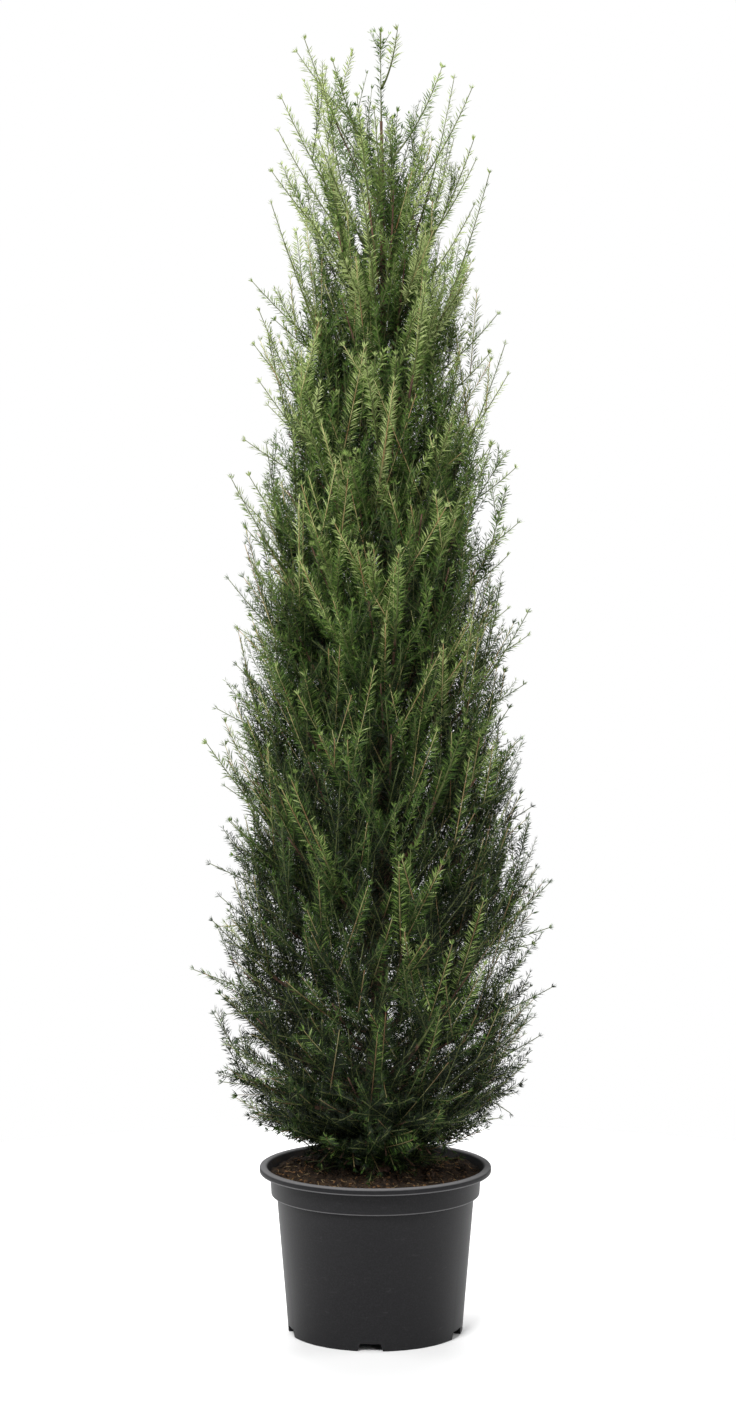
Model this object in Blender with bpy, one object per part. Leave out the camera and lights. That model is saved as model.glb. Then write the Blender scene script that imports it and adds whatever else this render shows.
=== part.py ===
"""A potted English yew: a slender young conifer, needled down to the soil of a round nursery pot.

All lengths are in metres and +Z is up. The origin is the middle of the pot's underside, and the
plant's front faces -Y. The pot, the soil, the trunk, every main bough and every mass of foliage
is one closed solid of its own. The crown grows by one seeded rule: branches leave the trunk in a
golden-angle spiral, each ends in a mass, and a mass is a stem with a dense core and toothed
sprays that keep to the space nearer to their own branch than to any other.
"""

from dataclasses import dataclass
from math import cos, pi, radians, sin, tan

import bmesh
import bpy
import numpy as np
from mathutils.bvhtree import BVHTree

# Driving dimensions of the pot
POT_HEIGHT = 0.260
LIP_RADIUS = 0.180
LIP_HEIGHT = 0.010
LIP_ROUNDING = 0.0015
LIP_INNER_RADIUS = 0.1693
COLLAR_TOP_RADIUS = 0.164
COLLAR_FOOT_RADIUS = 0.162
COLLAR_FOOT_HEIGHT = 0.2155
BODY_TOP_RADIUS = 0.1535
FOOT_RADIUS = 0.1355
WALL = 0.003
BASE_RING_WIDTH = 0.021
BASE_RISE = 0.008
BASE_STEP = 0.004
DRAIN_COUNT = 5
DRAIN_TOP_WIDTH = 0.031
DRAIN_FOOT_WIDTH = 0.039
DRAIN_HEIGHT = 0.012
DRAIN_DEPTH = 0.040
DRAIN_BELOW = 0.010
DRAIN_TURN = radians(-93.4)
POT_SEGMENTS = 28
SMOOTH_ANGLE = radians(30)

# Driving dimensions of the soil
SOIL_HEIGHT = 0.251
SOIL_FLAT_RADIUS = 0.050
SOIL_RING_RADIUS = 0.115
SOIL_UNEVEN = 0.0022
SOIL_WAVES = (61.0, 47.0)
SOIL_SINK = 0.4

# Driving dimensions of the trunk
PLANT_TOP = 2.006
TRUNK_TOP = 1.862
TRUNK_RADIUS = 0.0150
TRUNK_TIP_RADIUS = 0.0022
FLARE = 0.0095
FLARE_HEIGHT = 0.020
FLARE_RINGS = (0.0, 0.3, 0.8, 1.6, 3.0)
FIRST_RUN = 0.09
TRUNK_RINGS = 13
TRUNK_TAPER = 0.9
LEAN = 0.007
SWAY = 0.009
SWAY_DEPTH = 0.005
TRUNK_SIDES = 10

# The crown: how far its furthest tips stand from the trunk, and how far branches lean out
REACH_HEIGHTS = (0.262, 0.300, 0.340, 0.420, 0.520, 0.900, 1.300, 1.700, 1.900, 1.960, 1.990, 2.006)
REACH_RADII = (0.090, 0.130, 0.215, 0.262, 0.289, 0.262, 0.226, 0.184, 0.162, 0.152, 0.118, 0.040)
LEAN_HEIGHTS = (0.300, 0.340, 0.500, 0.900, 1.300, 1.700, 1.985)
LEAN_ANGLES = (98.0, 84.0, 62.0, 46.0, 36.0, 28.0, 23.0)
GOLDEN_ANGLE = radians(137.508)
FIRST_TURN = radians(-94.0)
TURN_VARIES = 0.12
REACH_VARIES = (0.95, 1.02)
LEAN_VARIES = 2.0
LOWEST_ROOT = 0.034
ROOT_ALLOWANCE = 0.008
BEND_OUT = 0.52
BEND_UP = 0.30
ARCH_UP = 0.90
SKIRT_COUNT = 4
SKIRT_TIP_HEIGHTS = (0.286, 0.312)
BRANCH_COUNT = 33
BRANCH_TIP_HEIGHTS = (0.352, 1.992)
BOUGH_COUNT = 18
BOUGH_SHARE = 0.22
BOUGH_SIDES = 5
LIMB_SHARE = 0.40
LIMB_TAPER = 0.8
THICKEST_LIMB_HEIGHT = SOIL_HEIGHT + 0.1
SEED = 1753

# The masses: a three-sided stem, a dense core, and toothed sprays of needles
STEM_TIP_RADIUS = 0.0012
STEM_LEAST_RADIUS = STEM_TIP_RADIUS * 1.2
STEM_SIDES = 3
SPRAY_COUNT = 6
TOP_SPRAY_COUNT = 5
LEADER_SPRAY_COUNT = 5
SPRAY_LENGTH = 0.185
LENGTH_HEIGHTS = (0.3, 0.5, 1.3, 2.0)
LENGTH_FACTORS = (0.80, 1.1, 1.0, 1.05)
LENGTH_VARIES = (0.85, 1.1)
LENGTH_AT_ROOT = 1.1
LENGTH_LOSS = 0.35
SPRAY_HALF_WIDTH = 0.040
SPRAY_THICKNESS = 0.0042
LEAST_THICKNESS = 0.6
SPRAY_RIBS = ((0.04, 1.0), (0.34, 0.9), (0.64, 0.65))
SPRAY_RIM = ((0.00, 0.16), (0.46, 1.00), (0.38, 0.42), (0.75, 0.86), (0.68, 0.36), (0.94, 0.52))
SAMPLE_SHARES = (0.0, 0.46, 0.75, 0.94, 1.0)
SAMPLE_WIDTHS = (0.2, 1.0, 0.86, 0.52, 0.05)
SPRAY_PLACES = (0.08, 0.92)
SPRAY_SPREADS = (34, 60)
SPRAY_ROLL = 1.1
HEADING_LIFT = 0.22
TAIL_LIFT = 0.30
LOOK_AHEAD = 0.1
SPRAY_TRIES = 95
SPRAY_SHRINKS = (1.0, 0.85, 0.7, 0.55)
END_START = 0.75
END_SIZES = (0.55, 0.95)
CORE_RADIUS = 0.150
CORE_REACH = 0.80
CORE_WIDTHS = (2.2, 1.7, 1.3, 1.0, 0.85, 0.6)
LEADER_CORE_RADIUS = 0.014
CORE_LEAST = 0.006
CORE_ROOM = 1.06
CORE_SHARE = 0.80
CORE_AFTER_BOUGH = 0.02
CORE_AFTER_TRUNK = 0.09
CORE_STEPS = (1.0, 0.05, 39)
CORE_SIDES = 7
CORE_SWELL = (0.90, 1.0, 1.0, 0.80)
POLE_OFFSET = 0.003
ROOT_SHARE = 0.60
ROOT_DEPTH = 0.0035
CORE_CLEARANCE = 0.002
FEWEST_SHAPES = 5
SLIVER = 0.000002

# Clearances
GAP = 0.0003
LIMB_CLEARANCE = 0.004
SPACE_CLEARANCE = 0.0020
SOIL_CLEARANCE = 0.005
LIP_CLEARANCE = 0.010


@dataclass
class Branch:
    """A limb from the trunk to a tip: three control points of its curve and its thickness."""

    name: str
    curve: np.ndarray
    radius: float
    bough_share: float
    sprays: int
    number: int


def clear_scene():
    """Remove every object and mesh that the file opened with."""
    for item in list(bpy.data.objects):
        bpy.data.objects.remove(item, do_unlink=True)
    for mesh in list(bpy.data.meshes):
        bpy.data.meshes.remove(mesh)


def plain_material(name, colour, roughness):
    """A Principled material with one colour."""
    material = bpy.data.materials.new(name)
    material.use_nodes = True
    shader = material.node_tree.nodes["Principled BSDF"]
    shader.inputs["Base Color"].default_value = (*colour, 1.0)
    shader.inputs["Roughness"].default_value = roughness
    shader.inputs["Metallic"].default_value = 0.0
    material.diffuse_color = (*colour, 1.0)
    return material


def add_object(name, vertices, faces, material):
    """An object of its own mesh, linked to the scene."""
    mesh = bpy.data.meshes.new(name)
    mesh.from_pydata([tuple(v) for v in vertices], [], faces)
    mesh.update()
    item = bpy.data.objects.new(name, mesh)
    item.data.materials.append(material)
    bpy.context.scene.collection.objects.link(item)
    return item


def unit(vector):
    """The same direction, one metre long."""
    return vector / np.linalg.norm(vector, axis=-1, keepdims=True)


def turned(name, profile, material):
    """A turned solid: the profile runs from the axis, round the section, back to the axis."""
    bm = bmesh.new()
    points = [bm.verts.new((radius, 0.0, height)) for radius, height in profile]
    edges = [bm.edges.new(pair) for pair in zip(points, points[1:])]
    bmesh.ops.spin(bm, geom=points + edges, cent=(0, 0, 0), axis=(0, 0, 1), angle=2 * pi,
                   steps=POT_SEGMENTS, use_merge=True)
    bmesh.ops.remove_doubles(bm, verts=bm.verts, dist=0.00005)
    bmesh.ops.recalc_face_normals(bm, faces=bm.faces)
    mesh = bpy.data.meshes.new(name)
    bm.to_mesh(mesh)
    bm.free()
    mesh.materials.append(material)
    item = bpy.data.objects.new(name, mesh)
    bpy.context.scene.collection.objects.link(item)
    return item


def inner_wall_radius(height):
    """Radius of the pot's inner face between its floor and the collar."""
    share = (height - WALL) / (COLLAR_FOOT_HEIGHT - 2 * WALL)
    return (FOOT_RADIUS - WALL) + share * (BODY_TOP_RADIUS - FOOT_RADIUS)


def pot_profile():
    """Section of the pot, from the middle of its underside out, up, over the lip and down inside."""
    lip_foot = POT_HEIGHT - LIP_HEIGHT
    ring_inner = FOOT_RADIUS - BASE_RING_WIDTH
    return [
        (0.0, BASE_RISE),
        (ring_inner - BASE_STEP, BASE_RISE),
        (ring_inner, 0.0),
        (FOOT_RADIUS, 0.0),
        (BODY_TOP_RADIUS, COLLAR_FOOT_HEIGHT),
        (COLLAR_FOOT_RADIUS, COLLAR_FOOT_HEIGHT),
        (COLLAR_TOP_RADIUS, lip_foot),
        (LIP_RADIUS, lip_foot),
        (LIP_RADIUS, POT_HEIGHT - LIP_ROUNDING),
        (LIP_RADIUS - LIP_ROUNDING, POT_HEIGHT),
        (LIP_INNER_RADIUS, POT_HEIGHT),
        (COLLAR_TOP_RADIUS - WALL, lip_foot - WALL),
        (COLLAR_FOOT_RADIUS - WALL, COLLAR_FOOT_HEIGHT + WALL),
        (inner_wall_radius(COLLAR_FOOT_HEIGHT), COLLAR_FOOT_HEIGHT - WALL),
        (inner_wall_radius(WALL), WALL),
        (ring_inner + WALL, WALL),
        (ring_inner + WALL - BASE_STEP, BASE_RISE + WALL),
        (0.0, BASE_RISE + WALL),
    ]


def drain_cutter(number, material):
    """One drain slot: a block that is wider at its foot, set through the wall's foot."""
    turn = DRAIN_TURN + number * 2 * pi / DRAIN_COUNT
    out = np.array([cos(turn), sin(turn), 0.0])
    side = np.array([-sin(turn), cos(turn), 0.0])
    up = np.array([0.0, 0.0, 1.0])
    slope = (DRAIN_FOOT_WIDTH - DRAIN_TOP_WIDTH) / DRAIN_HEIGHT
    corners = []
    for distance in (FOOT_RADIUS - DRAIN_DEPTH, FOOT_RADIUS + DRAIN_DEPTH / 2):
        for height in (-DRAIN_BELOW, DRAIN_HEIGHT):
            half = (DRAIN_FOOT_WIDTH - slope * height) / 2
            corners.append(out * distance - side * half + up * height)
            corners.append(out * distance + side * half + up * height)
    faces = [(0, 2, 3, 1), (4, 5, 7, 6), (0, 1, 5, 4), (2, 6, 7, 3), (0, 4, 6, 2), (1, 3, 7, 5)]
    cutter = add_object(f"drain_cutter_{number + 1}", corners, faces, material)
    cutter.hide_render = True
    cutter.display_type = "WIRE"
    return cutter


def build_pot(material):
    """The turned pot, with its drain slots cut through the foot of the wall."""
    pot = turned("pot", pot_profile(), material)
    for number in range(DRAIN_COUNT):
        cut = pot.modifiers.new(f"drain_{number + 1}", "BOOLEAN")
        cut.operation = "DIFFERENCE"
        cut.object = drain_cutter(number, material)
    pot.data.shade_smooth()
    pot.data.set_sharp_from_angle(angle=SMOOTH_ANGLE)
    return pot


def inner_lip_radius(height):
    """Radius of the sloping inner face between the collar's top and the lip's inner edge."""
    collar_top = POT_HEIGHT - LIP_HEIGHT - WALL
    share = (height - collar_top) / (POT_HEIGHT - collar_top)
    return COLLAR_TOP_RADIUS - WALL + share * (LIP_INNER_RADIUS - COLLAR_TOP_RADIUS + WALL)


def soil_profile():
    """Section of the soil: the pot's inner faces, one gap clear of them, and the top in rings."""
    floor = WALL + GAP
    rise = BASE_RISE + WALL + GAP
    shelf = FOOT_RADIUS - BASE_RING_WIDTH + WALL + GAP
    neck = COLLAR_FOOT_HEIGHT - WALL
    collar_top = POT_HEIGHT - LIP_HEIGHT - WALL
    edge = SOIL_HEIGHT - SOIL_UNEVEN
    return [
        (0.0, rise),
        (shelf - BASE_STEP, rise),
        (shelf, floor),
        (inner_wall_radius(floor) - GAP, floor),
        (inner_wall_radius(neck) - 2 * GAP, neck),
        (COLLAR_FOOT_RADIUS - WALL - GAP, COLLAR_FOOT_HEIGHT + WALL),
        (inner_lip_radius(collar_top) - 2 * GAP, collar_top),
        (inner_lip_radius(edge) - 2 * GAP, edge),
        (SOIL_RING_RADIUS, SOIL_HEIGHT),
        (SOIL_FLAT_RADIUS, SOIL_HEIGHT),
        (0.0, SOIL_HEIGHT),
    ]


def build_soil(material):
    """The root ball's soil, level round the trunk and uneven towards the pot's wall."""
    soil = turned("soil", soil_profile(), material)
    for vertex in soil.data.vertices:
        x, y, z = vertex.co
        on_ring = abs(np.hypot(x, y) - SOIL_RING_RADIUS) < GAP
        if on_ring and z > SOIL_HEIGHT - GAP:
            wave = sin(SOIL_WAVES[0] * x + 1.0) * cos(SOIL_WAVES[1] * y)
            vertex.co.z = z + SOIL_UNEVEN * (wave - SOIL_SINK)
    return soil


def trunk_axis(height):
    """Middle of the trunk at a height, with the small lean and sway it has."""
    share = (np.asarray(height) - SOIL_HEIGHT) / (PLANT_TOP - SOIL_HEIGHT)
    x = LEAN * share + SWAY * np.sin(pi * share)
    y = SWAY_DEPTH * np.sin(2 * pi * share)
    return np.stack([x, y, np.asarray(height) + 0.0 * share], axis=-1)


def trunk_radius(height):
    """Radius of the trunk at a height: an even taper, and the root flare at its foot."""
    share = np.clip((height - SOIL_HEIGHT) / (TRUNK_TOP - SOIL_HEIGHT), 0.0, 1.0)
    taper = TRUNK_TIP_RADIUS + (TRUNK_RADIUS - TRUNK_TIP_RADIUS) * (1 - share) ** TRUNK_TAPER
    return taper + FLARE * np.exp(-(height - SOIL_HEIGHT) / FLARE_HEIGHT)


def ring_basis(tangent):
    """Two directions square to each tangent."""
    helper = np.array([0.0, 0.0, 1.0]) if abs(tangent[2]) < 0.9 else np.array([1.0, 0.0, 0.0])
    across = unit(np.cross(helper, tangent))
    return across, np.cross(tangent, across)


def tube_faces(rings, sides):
    """Faces of a closed tube whose points stand in rings, from its first end to its last."""
    faces = [tuple(reversed(range(sides)))]
    for ring in range(rings - 1):
        for side in range(sides):
            low = ring * sides + side
            low_next = ring * sides + (side + 1) % sides
            faces.append((low, low_next, low_next + sides, low + sides))
    faces.append(tuple(range((rings - 1) * sides, rings * sides)))
    return faces


def tube(path, radii, sides, root_normal=None):
    """A tapering limb along a path. Its first ring lies in the plane of root_normal, if given."""
    vertices = []
    tangents = unit(np.gradient(path, axis=0))
    across, over = ring_basis(tangents[0])
    for place, tangent, radius in zip(path, tangents, radii):
        across = unit(across - tangent * (across @ tangent))
        over = np.cross(tangent, across)
        for side in range(sides):
            turn = 2 * pi * side / sides
            vertices.append(place + radius * (cos(turn) * across + sin(turn) * over))
    if root_normal is not None:
        for side in range(sides):
            offset = (path[0] - vertices[side]) @ root_normal
            vertices[side] = vertices[side] + tangents[0] * offset / (tangents[0] @ root_normal)
    return vertices, tube_faces(len(path), sides)


def build_trunk(material):
    """The trunk, from a flat cut on the soil to the foot of the leader."""
    foot = SOIL_HEIGHT + GAP
    flare = foot + FLARE_HEIGHT * np.array(FLARE_RINGS)
    above = np.linspace(flare[-1] + FIRST_RUN, TRUNK_TOP, TRUNK_RINGS)
    heights = np.concatenate([flare, above])
    path = trunk_axis(heights)
    radii = trunk_radius(heights)
    vertices = []
    for place, radius in zip(path, radii):
        for side in range(TRUNK_SIDES):
            turn = 2 * pi * side / TRUNK_SIDES
            vertices.append(place + radius * np.array([cos(turn), sin(turn), 0.0]))
    return add_object("trunk", vertices, tube_faces(len(heights), TRUNK_SIDES), material)


def trunk_face_distance(turn, height):
    """How far the trunk's flat-sided surface reaches from its axis towards a direction."""
    sector = 2 * pi / TRUNK_SIDES
    to_corner = abs((turn + sector / 2) % sector - sector / 2)
    return trunk_radius(height) * cos(to_corner)


def bezier(curve, share):
    """Points of a curve with three control points, at shares 0 to 1 of its run."""
    t = np.atleast_1d(share)[:, None]
    return (1 - t) ** 2 * curve[0] + 2 * t * (1 - t) * curve[1] + t ** 2 * curve[2]


def bezier_direction(curve, share):
    """Direction of the same curve at one share of its run."""
    return unit((1 - share) * (curve[1] - curve[0]) + share * (curve[2] - curve[1]))


def branch_curve(turn, tip_height, reach, lean):
    """A branch that leaves the trunk wide and bends up to its tip."""
    out = np.array([cos(turn), sin(turn), 0.0])
    up = np.array([0.0, 0.0, 1.0])
    rise = reach / tan(lean)
    root_height = max(tip_height - rise, SOIL_HEIGHT + LOWEST_ROOT)
    rise = tip_height - root_height
    start = trunk_face_distance(turn, root_height - ROOT_ALLOWANCE) + GAP
    root = trunk_axis(root_height) + out * start
    tip = np.array([out[0] * reach, out[1] * reach, tip_height])
    lift = BEND_UP * rise if rise > 0 else -ARCH_UP * rise
    bend = root + out * BEND_OUT * (reach - start) + up * lift
    return np.array([root, bend, tip])


def plan_branches():
    """Every branch of the crown: the short skirt at the foot, the long ones, and the leader."""
    rng = np.random.default_rng(SEED)
    heights = np.concatenate([
        np.linspace(*SKIRT_TIP_HEIGHTS, SKIRT_COUNT),
        np.linspace(*BRANCH_TIP_HEIGHTS, BRANCH_COUNT),
    ])
    branches = []
    for number, tip_height in enumerate(heights):
        turn = FIRST_TURN + number * GOLDEN_ANGLE + rng.uniform(-TURN_VARIES, TURN_VARIES)
        reach = np.interp(tip_height, REACH_HEIGHTS, REACH_RADII) * rng.uniform(*REACH_VARIES)
        angle = np.interp(tip_height, LEAN_HEIGHTS, LEAN_ANGLES)
        lean = radians(angle + rng.uniform(-LEAN_VARIES, LEAN_VARIES))
        curve = branch_curve(turn, tip_height, reach, lean)
        on_bough = SKIRT_COUNT <= number < SKIRT_COUNT + BOUGH_COUNT
        branches.append(Branch(
            name=f"{number + 1:02d}",
            curve=curve,
            radius=LIMB_SHARE * trunk_radius(max(curve[0][2], THICKEST_LIMB_HEIGHT)),
            bough_share=BOUGH_SHARE if on_bough else 0.0,
            sprays=SPRAY_COUNT if number < SKIRT_COUNT + BOUGH_COUNT else TOP_SPRAY_COUNT,
            number=number,
        ))
    top = trunk_axis(TRUNK_TOP + GAP)
    tip = trunk_axis(PLANT_TOP)
    leader = np.array([top, (top + tip) / 2, tip])
    branches.append(Branch("leader", leader, TRUNK_TIP_RADIUS, 0.0, LEADER_SPRAY_COUNT,
                           len(heights)))
    return branches


def limb_radius(branch, share):
    """Radius of a branch at a share of its run: an even taper to the tip."""
    return branch.radius + (STEM_TIP_RADIUS - branch.radius) * np.asarray(share) ** LIMB_TAPER


def distance_to_path(points, path):
    """Least distance from each point to a path of straight runs."""
    start = path[:-1]
    run = path[1:] - start
    from_start = points[:, None, :] - start[None, :, :]
    share = np.clip((from_start * run).sum(-1) / (run * run).sum(-1), 0.0, 1.0)
    nearest = from_start - share[..., None] * run
    return np.sqrt((nearest ** 2).sum(-1)).min(axis=1)


class Space:
    """The room that each branch may fill."""

    def __init__(self, branches):
        self.paths = [bezier(b.curve, np.linspace(0, 1, 14)) for b in branches]
        self.branches = branches
        self.taken = []
        heights = np.linspace(SOIL_HEIGHT, TRUNK_TOP, 40)
        self.take(tube(trunk_axis(heights), trunk_radius(heights) + CORE_CLEARANCE, TRUNK_SIDES), None)
        for branch in branches:
            if branch.bough_share > 0:
                shares = np.linspace(0.0, branch.bough_share, 6)
                radii = limb_radius(branch, shares) + CORE_CLEARANCE
                self.take(tube(bezier(branch.curve, shares), radii, BOUGH_SIDES), None)

    def spare(self, points, number):
        """How far each point lies inside the room of one branch. Below 0 it lies outside."""
        own = distance_to_path(points, self.paths[number])
        others = [distance_to_path(points, path) for i, path in enumerate(self.paths) if i != number]
        return (np.min(others, axis=0) - own) / 2 - SPACE_CLEARANCE

    def take(self, shape, owner):
        """Note a shape that only its owner's other shapes may pass through."""
        self.taken.append((owner, BVHTree.FromPolygons(*shape)))

    def crossed(self, shape, number):
        """Whether a branch's new shape passes through a limb or another branch's shape."""
        tree = BVHTree.FromPolygons(*shape)
        return any(tree.overlap(other) for owner, other in self.taken if owner != number)

    def free(self, points, number, share=1.0):
        """Whether all points keep to the room, to a share of the reach, and clear of every limb."""
        branch = self.branches[number]
        away = np.hypot(points[:, 0], points[:, 1])
        reach = share * np.interp(points[:, 2], REACH_HEIGHTS, REACH_RADII)
        if np.any(away > reach) or np.any(points[:, 2] > PLANT_TOP):
            return False
        floor = np.where(away < LIP_INNER_RADIUS, SOIL_HEIGHT + SOIL_CLEARANCE,
                         POT_HEIGHT + LIP_CLEARANCE)
        if np.any(points[:, 2] < floor):
            return False
        axis = trunk_axis(points[:, 2])
        trunk = np.hypot(*(points - axis)[:, :2].T)
        limb = np.where(points[:, 2] < TRUNK_TOP, trunk_radius(points[:, 2]), 0.0)
        if np.any(trunk < limb + LIMB_CLEARANCE) and branch.name != "leader":
            return False
        if branch.bough_share > 0:
            bough = bezier(branch.curve, np.linspace(0, branch.bough_share, 6))
            if np.any(distance_to_path(points, bough) < branch.radius + LIMB_CLEARANCE):
                return False
        return bool(np.all(self.spare(points, number) > 0))


def spray_mesh(curve, side, size):
    """A toothed blade along a curve: three teeth a side that sweep forward, and a raised rib."""
    half_width = SPRAY_HALF_WIDTH * size
    vertices = []
    for share, thick in SPRAY_RIBS:
        normal = unit(np.cross(bezier_direction(curve, share), side))
        rise = thick * SPRAY_THICKNESS * max(size, LEAST_THICKNESS)
        vertices.append(bezier(curve, share)[0] + normal * rise)
    for sign in (1, -1):
        for share, width in SPRAY_RIM:
            vertices.append(bezier(curve, share)[0] + sign * side * half_width * width)
    vertices.append(curve[2])
    base, tooth_1, notch_1, tooth_2, notch_2, tooth_3, tip = 0, 1, 2, 3, 4, 5, 15
    rib_1, rib_2, rib_3 = range(3)
    left, right = 3, 9
    faces = [(rib_1, left + base, right + base)]
    for edge in (left, right):
        top = [
            (rib_1, edge + tooth_1, edge + base), (rib_1, rib_2, edge + tooth_1),
            (rib_2, edge + notch_1, edge + tooth_1), (rib_2, edge + tooth_2, edge + notch_1),
            (rib_2, rib_3, edge + tooth_2), (rib_3, edge + notch_2, edge + tooth_2),
            (rib_3, edge + tooth_3, edge + notch_2), (rib_3, tip, edge + tooth_3),
        ]
        teeth = [
            (edge + base, edge + tooth_1, edge + notch_1),
            (edge + notch_1, edge + tooth_2, edge + notch_2),
            (edge + notch_2, edge + tooth_3, tip),
        ]
        faces += top + teeth if edge == left else [face[::-1] for face in top + teeth]
    for near, far in ((base, notch_1), (notch_1, notch_2)):
        faces.append((left + near, left + far, right + near))
        faces.append((right + near, left + far, right + far))
    faces.append((left + notch_2, tip, right + notch_2))
    return vertices, faces


def spray_samples(curve, side, size):
    """Points spread over a spray, by which its room is tested."""
    share = np.linspace(0.12, 1.0, 14)
    width = SPRAY_HALF_WIDTH * size * np.interp(share, SAMPLE_SHARES, SAMPLE_WIDTHS)
    across = np.linspace(-1.0, 1.0, 7)
    middle = bezier(curve, share)
    return (middle[:, None, :] + across[None, :, None] * width[:, None, None] * side).reshape(-1, 3)


def spray_length(branch):
    """Length of a branch's longest side spray: longer low down, where the crown is wide."""
    return SPRAY_LENGTH * np.interp(branch.curve[2][2], LENGTH_HEIGHTS, LENGTH_FACTORS)


def try_spray(branch, rng, space):
    """One shoot from the core at a drawn place and turn, as long as its room allows, or None."""
    start, stop = core_span(branch)
    share = start + (stop - start) * rng.uniform(*SPRAY_PLACES)
    forward = bezier_direction(branch.curve, share)
    middle = bezier(branch.curve, share)[0]
    across, over = ring_basis(forward)
    turn = rng.uniform(0, 2 * pi)
    spread_angle = radians(rng.uniform(*SPRAY_SPREADS))
    roll = rng.uniform(-SPRAY_ROLL, SPRAY_ROLL)
    length = spray_length(branch) * rng.uniform(*LENGTH_VARIES)
    length *= LENGTH_AT_ROOT - LENGTH_LOSS * share
    ray = cos(turn) * across + sin(turn) * over
    up = np.array([0.0, 0.0, 1.0])
    heading = unit(cos(spread_angle) * forward + sin(spread_angle) * ray + HEADING_LIFT * up)
    tail = unit(heading + TAIL_LIFT * up)
    root = middle + heading * ROOT_SHARE * core_depth(branch, space, middle, ray)
    outward = unit((root + heading * LOOK_AHEAD) * np.array([1.0, 1.0, 0.0]))
    flat = unit(np.cross(heading, outward))
    side = unit(cos(roll) * flat + sin(roll) * np.cross(heading, flat))
    for shrink in SPRAY_SHRINKS:
        reach = length * shrink
        bend = root + heading * reach * 0.5
        curve = np.array([root, bend, bend + tail * reach * 0.5])
        size = reach / SPRAY_LENGTH
        if space.free(spray_samples(curve, side, size), branch.number):
            return curve, side, size
    return None


def crosses(shape, others):
    """Whether one shape's faces pass through those of any other."""
    tree = BVHTree.FromPolygons(*shape)
    return any(tree.overlap(BVHTree.FromPolygons(*other)) for other in others)


def rooted(spray, core):
    """Whether a spray starts well inside the core and its outer part stands clear of it."""
    tree = BVHTree.FromPolygons(*core)
    samples = spray_samples(*spray)
    outer = samples[len(samples) * 2 // 5:]
    for point, inside in [(spray[0][0], True)] + [(point, False) for point in outer]:
        place, normal, _, _ = tree.find_nearest(point)
        height = np.dot(np.subtract(point, place), normal)
        if (inside and height > -ROOT_DEPTH) or (not inside and height < CORE_CLEARANCE):
            return False
    return True


def choose_sprays(branch, space, core):
    """Sprays of one mass: each next one ends furthest from those before it and crosses none."""
    rng = np.random.default_rng([SEED, branch.number])
    found = [try_spray(branch, rng, space) for _ in range(SPRAY_TRIES)]
    found = [spray for spray in found if spray is not None and rooted(spray, core)]
    shapes = [spray_mesh(*end_spray(branch))]
    tips = [branch.curve[2]]
    while found and len(shapes) <= branch.sprays:
        scores = [min(np.linalg.norm(s[0][2] - tip) for tip in tips) * s[2] ** 0.5 for s in found]
        best = found.pop(int(np.argmax(scores)))
        shape = spray_mesh(*best)
        if not crosses(shape, shapes) and not space.crossed(shape, branch.number):
            shapes.append(shape)
            space.take(shape, branch.number)
            tips.append(best[0][2])
    return shapes


def core_span(branch):
    """Shares of a branch's run where its core starts and stops."""
    start = CORE_AFTER_TRUNK
    if branch.bough_share > 0:
        start = branch.bough_share + CORE_AFTER_BOUGH
    return start, start + CORE_SHARE * (1 - start)


def end_spray(branch):
    """The feathered end of the branch itself, from inside the core out to its tip."""
    start, stop = core_span(branch)
    share = start + END_START * (stop - start)
    begin = bezier(branch.curve, share)[0]
    middle = bezier(branch.curve, (1 + share) / 2)[0]
    tip = branch.curve[2]
    bend = 2 * middle - (begin + tip) / 2
    flat = ring_basis(unit(tip - begin))[0]
    size = float(np.clip(np.linalg.norm(tip - begin) / SPRAY_LENGTH, *END_SIZES))
    return np.array([begin, bend, tip]), flat, size


def core_mesh(branch, space):
    """The dense heart of a mass, as wide as it can be without passing through what is taken."""
    for width in CORE_WIDTHS:
        core = core_rings(branch, space, width)
        if not space.crossed(core, branch.number):
            break
    space.take(core, branch.number)
    return core


def core_rings(branch, space, width):
    """A core of parallel rings round its stem, pushed out to where its room ends."""
    start, stop = core_span(branch)
    poles = bezier(branch.curve, np.array([start, stop]))
    across, over = ring_basis(unit(poles[1] - poles[0]))
    poles = poles - POLE_OFFSET * over
    shares = np.linspace(start, stop, len(CORE_SWELL) + 2)[1:-1]
    vertices = [poles[0]]
    for share, full in zip(shares, CORE_SWELL):
        middle = bezier(branch.curve, share)[0]
        for side in range(CORE_SIDES):
            turn = 2 * pi * side / CORE_SIDES
            ray = cos(turn) * across + sin(turn) * over
            vertices.append(middle + ray * core_depth(branch, space, middle, ray, width) * full)
    vertices.append(poles[1])
    faces = []
    last = len(vertices) - 1
    for side in range(CORE_SIDES):
        following = (side + 1) % CORE_SIDES
        faces.append((0, 1 + following, 1 + side))
        for ring in range(len(CORE_SWELL) - 1):
            low = 1 + ring * CORE_SIDES
            faces.append((low + side, low + following, low + following + CORE_SIDES,
                          low + side + CORE_SIDES))
        high = last - CORE_SIDES
        faces.append((high + side, high + following, last))
    return vertices, faces


def core_depth(branch, space, middle, ray, width=1.0):
    """How far a core may stand out along a ray: its radius, or less where room is short."""
    full = LEADER_CORE_RADIUS
    if branch.name != "leader":
        from_trunk = np.linalg.norm(middle - trunk_axis(middle[2])) - trunk_radius(middle[2])
        full = min(CORE_RADIUS, width * from_trunk)
    for depth in full * np.linspace(*CORE_STEPS):
        samples = middle + ray * depth * np.linspace(0.3, CORE_ROOM, 8)[:, None]
        if space.free(samples, branch.number, CORE_REACH):
            return depth
    return CORE_LEAST


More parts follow.
